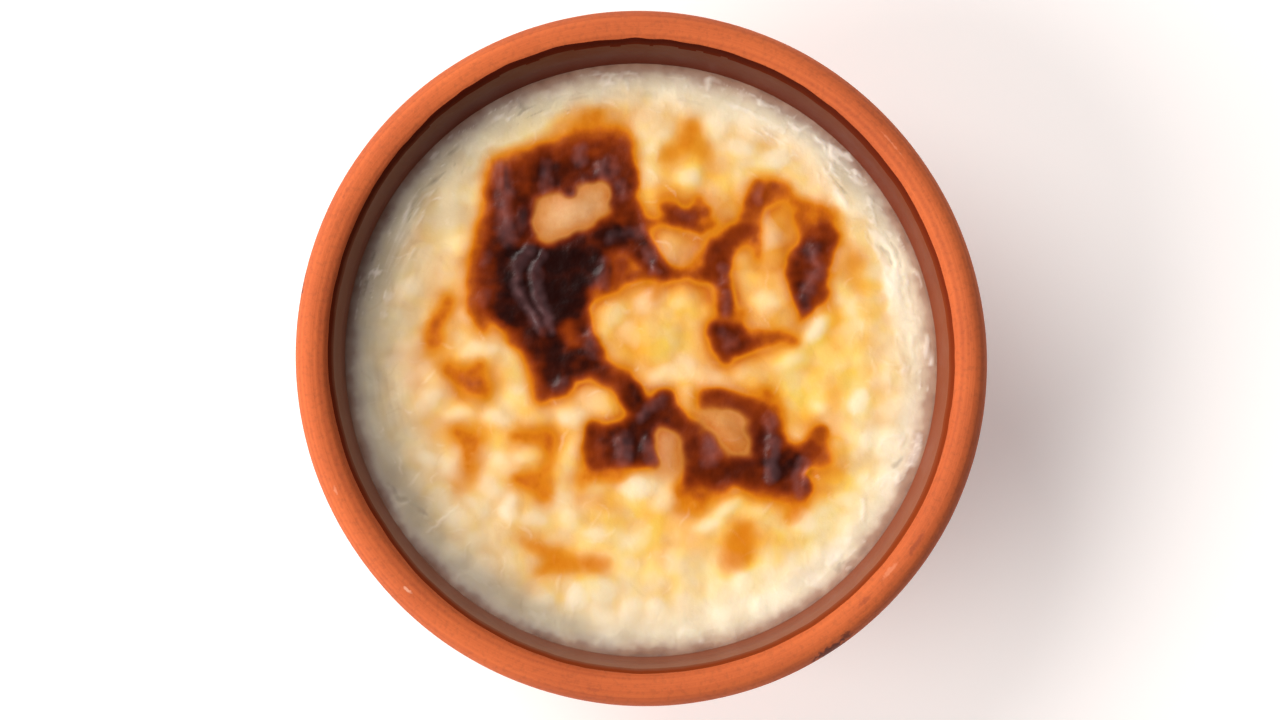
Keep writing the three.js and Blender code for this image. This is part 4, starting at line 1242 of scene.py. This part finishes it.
def pudding_skin():
    """Milk skin over rice, baked in a hot oven: creamy and moist, toasted yellow, scorched brown to black."""
    material, tree = new_material("milk_skin_scorched_in_the_oven")
    place = add(tree, "ShaderNodeTexCoord").outputs["Object"]
    here = {}
    for name in SKIN_FIELDS:
        here[name] = add(tree, "ShaderNodeAttribute", attribute_name=name).outputs["Fac"]
    # grains of several sizes: scale and detail
    for name, scale, detail in (
        ("cloud", 170.0, 3.0),
        ("patch", 70.0, 2.0),
        ("curd", 260.0, 1.0),
        ("speckle", 900.0, 3.0),
        ("pore", 1400.0, 2.0),
    ):
        here[name] = add(tree, "ShaderNodeTexNoise", {
            "Vector": place, "Scale": scale, "Detail": detail, "Roughness": 0.55}).outputs[0]

    # fields made uneven by a grain: its low and high end, and what it adds there
    for name, field, grain, low, high, least, most, clamped in (
        ("brown", "toast", "patch", 0.3, 0.7, -0.05, 0.05, True),
        ("mottled", "brown", "cloud", 0.35, 0.65, -0.2, 0.3, False),
        ("yellowing", "golden", "curd", 0.35, 0.65, -0.28, 0.32, True),
    ):
        sway = add(tree, "ShaderNodeMapRange", {
            0: here[grain], 1: low, 2: high, 3: least, 4: most}).outputs[0]
        here[name] = add(tree, "ShaderNodeMath", {0: here[field], 1: sway}, operation="ADD",
                         use_clamp=clamped).outputs[0]

    # the scorch's edge is fuzzy where there is any scorch
    wobble, sway = (
        add(tree, "ShaderNodeMath", {0: here[name], 1: amount, 2: -amount / 2},
            operation="MULTIPLY_ADD").outputs[0]
        for name, amount in (("speckle", 0.08), ("cloud", 0.16)))
    fuzz = add(tree, "ShaderNodeMath", {0: wobble, 1: sway}, operation="ADD").outputs[0]
    edge = add(tree, "ShaderNodeMapRange", {0: here["scorch"], 1: 0.05, 2: 0.3}).outputs[0]
    fuzz = add(tree, "ShaderNodeMath", {0: fuzz, 1: edge}, operation="MULTIPLY").outputs[0]
    here["tone"] = add(tree, "ShaderNodeMath", {0: here["scorch"], 1: fuzz}, operation="ADD",
                       use_clamp=True).outputs[0]

    # shares that two fields decide together: each one's range, and its share at both ends
    for name, first, second in (
        ("whitened", ("pale", 0.2, 0.9, 0.0, 0.62), ("brown", 0.1, 0.5, 1.0, 0.1)),
        # where the painted sheen lies: round the blisters, on deep scorch only
        ("painted_sheen", ("sheen_patches", 0.1, 1.0, 0.0, 0.62), ("tone", 0.3, 0.5, 0.0, 1.0)),
    ):
        one, other = (
            add(tree, "ShaderNodeMapRange", {0: here[field], 1: low, 2: high, 3: start, 4: end}).outputs[0]
            for field, low, high, start, end in (first, second))
        here[name] = add(tree, "ShaderNodeMath", {0: one, 1: other}, operation="MULTIPLY").outputs[0]

    # the finishes: ramps of one tone, then pairs that a field leads over into each other, then mixtures
    finish = {}
    for name, field, stops in (
        ("peach", "brown", PEACH),
        ("yellow", "brown", YELLOW),
        ("spared grain", "mottled", SPARED_GRAIN),
        ("burnt", "tone", BURNT),
        ("tanned", "tone", TANNED),
    ):
        finish[name] = add(tree, "ShaderNodeValToRGB", {0: here[field]}, stops=stops).outputs[0]
    for name, below, above, field, low, high in (
        ("dry ring", "d6cab0", "ebe2ca", "cloud", 0.35, 0.65),
        ("wet ring", "9c8e7c", "bab098", "patch", 0.35, 0.65),
        ("grey milk", "a09380", "bcae92", "cloud", 0.35, 0.65),
        ("crevice shade", "cfc4b2", "e6c9a0", "brown", 0.05, 0.35),
        ("warm film", "c4a996", "8e614e", "film", 0.3, 0.9),
        ("grey film", "b4a79e", "82645b", "film", 0.3, 0.9),
        # the painted sheen's purple-grey, a painted reflection on the burnt skin
        ("sheen on burn", "94564e", "644446", "tone", 0.5, 0.9),
    ):
        finish[name] = coat(tree, below, above, here[field], low, high)
    finish["rice"] = linear("f4e8cc")
    for name, below, above, cover in (
        ("skin", "peach", "yellow", "yellowing"),
        ("skin", "skin", "rice", "whitened"),
        ("ring", "dry ring", "wet ring", "milky"),
        ("scorch", "burnt", "tanned", "island"),
        ("scorch", "scorch", "sheen on burn", "painted_sheen"),
    ):
        finish[name] = add(tree, "ShaderNodeMix", {
            0: here[cover], 6: finish[below], 7: finish[above]}, data_type="RGBA").outputs[2]
    film = coat(tree, finish["warm film"], finish["grey film"], here["milky"], 0.15, 0.6)
    film = coat(tree, film, "6e4034", here["film"], 0.9, 1.0, 0.8)

    # the skin's layers from below: grey milk, the dried ring at the wall, milk dried white, the crevices'
    # painted shade, the grains' own tints, hairlines' painted highlight and shade, spared grains, the film on
    # the wall, folds with painted highlight and creases with painted shade, and the scorch with its painted
    # sheen; each has its colour, the field that lays it, from and to which value, and the most of it
    colour = coat(tree, finish["skin"], finish["grey milk"], here["milky"], 0.1, 1.0, 0.9)
    colour = add(tree, "ShaderNodeMix", {0: here["edge_milk"], 6: colour, 7: finish["ring"]},
                 data_type="RGBA").outputs[2]
    for layer, field, low, high, most, blend in (
        ("efe5ca", "white", 0.1, 1.0, 0.8, "MIX"),
        # the crevices between grains are darker: painted shade, warmer where the skin toasted in them
        (finish["crevice shade"], "gap", 0.2, 0.9, 0.14, "MULTIPLY"),
        ("fff3dc", "tint", 0.0, 0.9, 0.16, "MIX"),
        ("c9a878", "tint", 0.0, -0.9, 0.16, "MULTIPLY"),
        # hairlines: painted highlight along their crests, painted shade along their furrows
        ("fff4e2", "hair", 0.1, 0.9, 0.15, "MIX"),
        ("c0a888", "hair", -0.1, -0.6, 0.16, "MULTIPLY"),
        (finish["spared grain"], "island", 0.0, 1.0, 0.85, "MIX"),
        (film, "film", 0.0, 0.7, 0.88, "MIX"),
        # folds are paler on their crests: dried milk and painted highlight; creases are darker: painted shade
        ("efe6da", "fold", 0.05, 0.3, 0.5, "MIX"),
        ("77685a", "fold", -0.05, -0.35, 0.55, "MIX"),
        (finish["scorch"], "tone", 0.08, 0.3, 1.0, "MIX"),
    ):
        colour = coat(tree, colour, layer, here[field], low, high, most, blend)

    bump = add(tree, "ShaderNodeBump", {
        "Height": here["pore"], "Strength": 0.2, "Distance": 0.0002}).outputs[0]
    # burnt skin is glossier, and light no longer goes into it: range of the scorch, value without and with it
    polish, milkiness = (
        add(tree, "ShaderNodeMapRange", {0: here["scorch"], 1: low, 2: high, 3: bare, 4: burnt}).outputs[0]
        for low, high, bare, burnt in ((0.3, 0.75, 0.42, 0.3), (0.05, 0.25, 0.25, 0.0)))
    surfaced(tree, {
        "Base Color": colour, "Normal": bump, "Roughness": polish, "IOR": 1.4, "Specular IOR Level": 0.28,
        "Subsurface Weight": milkiness, "Subsurface Radius": (1.0, 0.65, 0.35), "Subsurface Scale": 0.002})
    return material


def tabletop():
    """A white lacquered board, lit evenly enough to look almost like paper."""
    material, tree = new_material("white_lacquered_tabletop")
    surfaced(tree, {
        "Base Color": linear("f4f3f2"), "Roughness": 0.8,
        "Emission Color": linear("fbf6f4"), "Emission Strength": 0.2})
    return material


# ---------------------------------------------------- camera, light, table

RIM_LEVEL = 48.7 * MM
CAMERA_DISTANCE = 0.75
CAMERA_ELEVATION = math.radians(86.45)
VIEW_WIDTH = 0.2213
SENSOR = 36.0
LOOK_AT = Vector((-0.00014, -0.0006, RIM_LEVEL))
TABLE_HALF = 3.0

scene = bpy.context.scene
lens = bpy.data.cameras.new("camera")
lens.sensor_width = SENSOR
lens.lens = SENSOR * CAMERA_DISTANCE / VIEW_WIDTH
lens.clip_start = 0.01
camera = shown("camera", lens)
away = Vector((0, -math.cos(CAMERA_ELEVATION), math.sin(CAMERA_ELEVATION)))
camera.location = LOOK_AT + away * CAMERA_DISTANCE
camera.rotation_euler = (-away).to_track_quat("-Z", "Y").to_euler()
scene.camera = camera
scene.view_settings.view_transform = "Standard"

WINDOW_DISTANCE = 1.3
WINDOW_SIZE = 0.9
WINDOW_COLOUR = "fffaf6"

# Two windows: name, azimuth and elevation (degrees), power (watts).
for name, azimuth, elevation, power in (("window", 136, 46, 12.0), ("second_window", 206, 38, 13.5)):
    pane = bpy.data.lights.new(name, "AREA")
    pane.shape = "DISK"
    pane.size = WINDOW_SIZE
    pane.energy = power
    pane.color = linear(WINDOW_COLOUR)[:3]
    light = shown(name, pane)
    a, e = math.radians(azimuth), math.radians(elevation)
    towards = Vector((math.cos(a) * math.cos(e), math.sin(a) * math.cos(e), math.sin(e)))
    light.location = towards * WINDOW_DISTANCE
    light.rotation_euler = towards.to_track_quat("Z", "Y").to_euler()

# The room: dark straight above, pale low down, brighter on the windows' side.
BRIGHT_SIDE = (-0.87, 0.5, 0.0)
room = bpy.data.worlds.new("pale_room")
scene.world = room
room.use_nodes = True
room.node_tree.nodes.clear()
sky = add(room.node_tree, "ShaderNodeTexCoord").outputs["Generated"]
up = add(room.node_tree, "ShaderNodeSeparateXYZ", {0: sky}).outputs[2]
overhead = add(room.node_tree, "ShaderNodeValToRGB", {0: up},
               stops=((0.72, "c8c4c4"), (0.93, "101010"))).outputs[0]
window_side = add(room.node_tree, "ShaderNodeVectorMath", {0: sky, 1: BRIGHT_SIDE},
                  operation="DOT_PRODUCT").outputs["Value"]
strength = add(room.node_tree, "ShaderNodeMapRange", {
    0: window_side, 1: -1.0, 2: 1.0, 3: 0.5, 4: 1.4}).outputs[0]
glow = add(room.node_tree, "ShaderNodeBackground", {"Color": overhead, "Strength": strength})
add(room.node_tree, "ShaderNodeOutputWorld", {"Surface": glow.outputs[0]})

table_mesh = bpy.data.meshes.new("table")
table_corners = [(x * TABLE_HALF, y * TABLE_HALF, 0) for x, y in ((-1, -1), (1, -1), (1, 1), (-1, 1))]
table_mesh.from_pydata(table_corners, [], [(0, 1, 2, 3)])
table = shown("table", table_mesh)
table.data.materials.append(tabletop())

# ---------------------------------------------------- the bowl

clay_section = clay_profile()
bowl = evaluated("clay_bowl", polyline("clay_section", clay_section), wheel_tree(), {
    "Points along": len(clay_section), "Steps round": 641, "Ring depth": 0.00012, "Ring spacing": 0.0042,
    "Wobble": 0.0009, "Seed": 3.0, "Clay": terracotta()})
squeeze_mesh(bowl.data)
face_outward(bowl.data)

# Where the poured glaze ends: azimuth (degrees), how far down from the mouth (mm, below 0 on the lip).
GLAZE_EDGE = (
    (0, 0.7), (30, 0.15), (48, -0.2), (62, -0.6), (90, -0.95), (120, -1.05), (150, -0.2),
    (168, 0.3), (182, 0.6), (196, 1.0), (212, 1.3), (226, 1.1), (240, 0.7), (256, 0.3),
    (270, 0.2), (285, -0.1), (300, -0.4), (330, -0.1), (346, 0.4), (360, 0.7),
)
GLAZE_ROUND = 540
GLAZE_DOWN = 64
FINER_AT_THE_LIP = 1.8

# The edge wanders: by how much (mm), the size of the waves (mm, on a circle of that radius), seed, octaves.
EDGE_CIRCLE = 30.0
EDGE_WAVES = ((0.28, 6.0, 61, 3), (0.16, 1.5, 62, 2))

# The coat grows from a thin start at its edge to its full thickness (mm).
COAT_HEAD_START = 0.3
COAT_GROWTH = 1.6
DEEP_INSIDE = 99.0


def lip_and_wall():
    """The clay's inner line from the rim's crest to the floor's edge, and each point's length along it."""
    lip = rim_arc(RIM_WIDTH - RIM_TOP_SETBACK, RIM_INNER_DROP, MOUTH_HEIGHT, math.pi / 2, math.pi, 24)
    line = np.concatenate([lip, inner_wall(160)[1:]])
    run = np.concatenate([[0.0], np.cumsum(np.linalg.norm(np.diff(line, axis=0), axis=1))])
    return line, run, run[len(lip) - 1]


def ring_quads(first, second, third, fourth):
    """Four-sided faces from four arrays of corners."""
    return np.stack([first, second, third, fourth], -1).reshape(-1, 4)


def glaze_lining(clay):
    """A thin coat on the clay: each point lies on the clay's surface, raised by the glaze's thickness."""
    line, run, mouth = lip_and_wall()
    around = np.arange(GLAZE_ROUND) * 2 * math.pi / GLAZE_ROUND
    drop = np.interp(np.degrees(around), *zip(*GLAZE_EDGE))
    ring_x, ring_y = EDGE_CIRCLE * np.cos(around), EDGE_CIRCLE * np.sin(around)
    for amount, size, seed, octaves in EDGE_WAVES:
        drop = drop + amount * noise(ring_x, ring_y, size, seed, octaves)
    start = (mouth + drop)[:, None]
    share = np.linspace(0, 1, GLAZE_DOWN + 1) ** FINER_AT_THE_LIP
    reach = start + (run[-1] - start) * share[None, :]
    radius = np.interp(reach, run, line[:, 0])
    level = np.interp(reach, run, line[:, 1])
    x, y = squeezed(radius * np.cos(around)[:, None], radius * np.sin(around)[:, None])
    build = GLAZE_THICKNESS * (1 - np.exp(-(reach - start + COAT_HEAD_START) / COAT_GROWTH))

    surface = BVHTree.FromPolygons([v.co for v in clay.vertices], [p.vertices for p in clay.polygons])
    outside, inside = [], []
    for place, thickness in zip(np.stack([x, y, level], -1).reshape(-1, 3), build.ravel()):
        spot, normal, _, _ = surface.find_nearest(Vector(place) * MM)
        outside.append(spot + normal * (thickness * MM))
        inside.append(spot - normal * (GLAZE_ROOT * MM))
    rolled = (radius[:, :1] - radius).ravel().tolist()
    floor = FLOOR_THICKNESS * MM
    middle = [Vector((0, 0, floor + GLAZE_THICKNESS * MM)), Vector((0, 0, floor - GLAZE_ROOT * MM))]
    points = outside + inside + middle

    grid = np.arange(GLAZE_ROUND * (GLAZE_DOWN + 1)).reshape(GLAZE_ROUND, GLAZE_DOWN + 1)
    following = np.roll(grid, -1, axis=0)
    deeper = grid + grid.size
    deeper_following = following + grid.size
    faces = np.concatenate([
        ring_quads(grid[:, :-1], grid[:, 1:], following[:, 1:], following[:, :-1]),
        ring_quads(deeper[:, :-1], deeper_following[:, :-1], deeper_following[:, 1:], deeper[:, 1:]),
        ring_quads(grid[:, 0], following[:, 0], deeper_following[:, 0], deeper[:, 0]),
    ]).tolist()
    top, bottom = len(points) - 2, len(points) - 1
    faces += [[a, top, b] for a, b in zip(grid[:, -1].tolist(), following[:, -1].tolist())]
    faces += [[a, b, bottom] for a, b in zip(deeper[:, -1].tolist(), deeper_following[:, -1].tolist())]
    mesh = bpy.data.meshes.new("glaze_lining")
    mesh.from_pydata(points, [], faces)
    from_edge = np.array(rolled + rolled + [DEEP_INSIDE, DEEP_INSIDE], np.float32)
    mesh.attributes.new("from_edge", "FLOAT", "POINT").data.foreach_set("value", from_edge)
    face_outward(mesh)
    return mesh


def dull_at_the_lip(mesh):
    """The second finish for the faces at the lip, where the clay drank the glaze."""
    distance = np.empty(len(mesh.vertices), np.float32)
    mesh.attributes["from_edge"].data.foreach_get("value", distance)
    for face in mesh.polygons:
        face.material_index = int(max(distance[v] for v in face.vertices) < SOAKED_LIP)


lining = shown("glaze_lining", glaze_lining(bowl.data))
lining.data.materials.append(glaze("clear_glaze_poured_on_red_clay", shine=0.25, roughness=0.3))
lining.data.materials.append(glaze("glaze_soaked_into_the_lip", shine=0.05, roughness=0.7))
dull_at_the_lip(lining.data)

# ---------------------------------------------------- the pudding

SKIN_STEPS = 294
TOP_ON_MAP = 0.9
SIDE_ON_MAP = 0.92

# Below the skin: the levels at which the side follows the wall, and the rings of the underside (mm).
SIDE_LEVELS = (41.0, 36.0, 28.0, 18.0, 10.0)
UNDERSIDE_RADII = (FLOOR_RADIUS, 10.0, 2.0)
UNDERSIDE_LEVEL = FLOOR_THICKNESS + FIT_GAP
LED_TO_THE_WALL_FROM = 0.86


def square_to_disc(a, b):
    """Concentric squares to concentric circles, keeping the cells' areas even."""
    wide = np.abs(a) > np.abs(b)
    safe_a = np.where(wide, a, 1.0)
    safe_b = np.where(wide, 1.0, np.where(b == 0, 1.0, b))
    r = np.where(wide, a, b)
    phi = np.where(wide, math.pi / 4 * b / safe_a, math.pi / 2 - math.pi / 4 * a / safe_b)
    return r * np.cos(phi), r * np.sin(phi)


def bonded(points, edge, wall):
    """The skin's outermost part, moved so that it meets the glazed wall all round, as it baked on."""
    surface = BVHTree.FromPolygons([v.co for v in wall.vertices], [p.vertices for p in wall.polygons])
    azimuth, reach = np.arctan2(points[:, 1], points[:, 0]), np.hypot(points[:, 0], points[:, 1])
    contact = []
    for turn, level in zip(azimuth[edge], points[edge, 2]):
        hit = surface.ray_cast(Vector((0, 0, level * MM)), Vector((math.cos(turn), math.sin(turn), 0)))
        contact.append(hit[3] / MM + BOND)
    skin_edge = np.interp(azimuth, azimuth[edge], reach[edge], period=2 * math.pi)
    wall_edge = np.interp(azimuth, azimuth[edge], contact, period=2 * math.pi)
    share = 1 + (wall_edge / skin_edge - 1) * smooth(LED_TO_THE_WALL_FROM, 1.0, reach / skin_edge)
    points[:, 0] *= share
    points[:, 1] *= share


def crease_at_the_wall(mesh, edge):
    """The skin ends sharply at the wall, so that it isn't shaded as if it rolled over there."""
    on_edge = np.zeros(len(mesh.vertices), bool)
    on_edge[edge] = True
    ends = np.empty(len(mesh.edges) * 2, int)
    mesh.edges.foreach_get("vertices", ends)
    sharp = on_edge[ends.reshape(-1, 2)].all(axis=1)
    mesh.attributes.new("sharp_edge", "BOOLEAN", "EDGE").data.foreach_set("value", sharp)


def side_and_underside():
    """Radius and level of each ring below the skin, one fit gap in from the clay."""
    wall = inner_wall(200)
    side = [(float(np.interp(-level, -wall[:, 1], wall[:, 0])) - FIT_GAP, level) for level in SIDE_LEVELS]
    return side + [(radius, UNDERSIDE_LEVEL) for radius in UNDERSIDE_RADII]


def pudding_mesh(wall_coat):
    """One closed body: the skin with its fields, the side and the underside, laid out on one bake map."""
    line = np.linspace(-1, 1, SKIN_STEPS + 1)
    A, B = np.meshgrid(line, line, indexing="ij")
    u, v = square_to_disc(A, B)
    x, y = (u * SKIN_RADIUS).ravel(), (v * SKIN_RADIUS).ravel()
    index = np.arange(x.size).reshape(A.shape)
    quads = [ring_quads(index[:-1, :-1], index[1:, :-1], index[1:, 1:], index[:-1, 1:])]
    loop = np.concatenate([index[:-1, 0], index[-1, :-1], index[:0:-1, -1], index[0, :0:-1]])
    around = len(loop)
    places = [np.stack([x, y, at(height, x, y)], 1)]
    on_map = np.stack([A.ravel(), B.ravel()], 1) * TOP_ON_MAP / 2 + TOP_ON_MAP / 2
    corners = [on_map[quads[0]]]

    # rings down the side and in below, each on its own strip of the map
    rings = side_and_underside()
    direction = np.stack([x[loop], y[loop]], 1) / np.hypot(x[loop], y[loop])[:, None]
    strip = np.linspace(SIDE_ON_MAP, 1.0, len(rings) + 2)
    here_u, next_u = np.arange(around) / around, (np.arange(around) + 1) / around
    previous = loop
    count = x.size
    for row, (radius, level) in enumerate(rings):
        places.append(np.concatenate([direction * radius, np.full((around, 1), level)], 1))
        here = np.arange(count, count + around)
        count += around
        quads.append(ring_quads(previous, here, np.roll(here, -1), np.roll(previous, -1)))
        low, high = np.full(around, strip[row]), np.full(around, strip[row + 1])
        ring_corners = np.stack([[here_u, low], [here_u, high], [next_u, high], [next_u, low]], 0)
        corners.append(ring_corners.transpose(2, 0, 1))
        previous = here
    places.append(np.array([[0.0, 0.0, UNDERSIDE_LEVEL]]))
    fan = np.stack([previous, np.full(around, count), np.roll(previous, -1)], 1)
    low, high = np.full(around, strip[-2]), np.full(around, strip[-1])
    fan_corners = np.stack([[here_u, low], [(here_u + next_u) / 2, high], [next_u, low]], 0)
    fan_corners = fan_corners.transpose(2, 0, 1)

    points = np.concatenate(places)
    points[:, 0], points[:, 1] = squeezed(points[:, 0], points[:, 1])
    bonded(points[:x.size], loop, wall_coat)
    mesh = bpy.data.meshes.new("pudding_body")
    mesh.from_pydata((points * MM).tolist(), [], np.concatenate(quads).tolist() + fan.tolist())
    spread = np.concatenate([np.concatenate(corners).reshape(-1, 2), fan_corners.reshape(-1, 2)])
    bake_map = mesh.uv_layers.new(name="OFBake", do_init=False)
    bake_map.uv.foreach_set("vector", spread.astype(np.float32).ravel())
    for name, field in SKIN_FIELDS.items():
        values = np.full(len(points), 1.0 if name in FULL_BELOW_THE_SKIN else 0.0)
        values[:x.size] = at(field, x, y)
        mesh.attributes.new(name, "FLOAT", "POINT").data.foreach_set("value", values.astype(np.float32))
    mesh.shade_smooth()
    crease_at_the_wall(mesh, loop)
    return mesh


pudding = shown("pudding_body", pudding_mesh(lining.data))
pudding.data.materials.append(pudding_skin())

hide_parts("bowl")
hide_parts("pudding")
for piece, finish in ((bowl, "terracotta"), (lining, "clear_glaze"), (pudding, "milk_pudding")):
    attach(piece, "root")
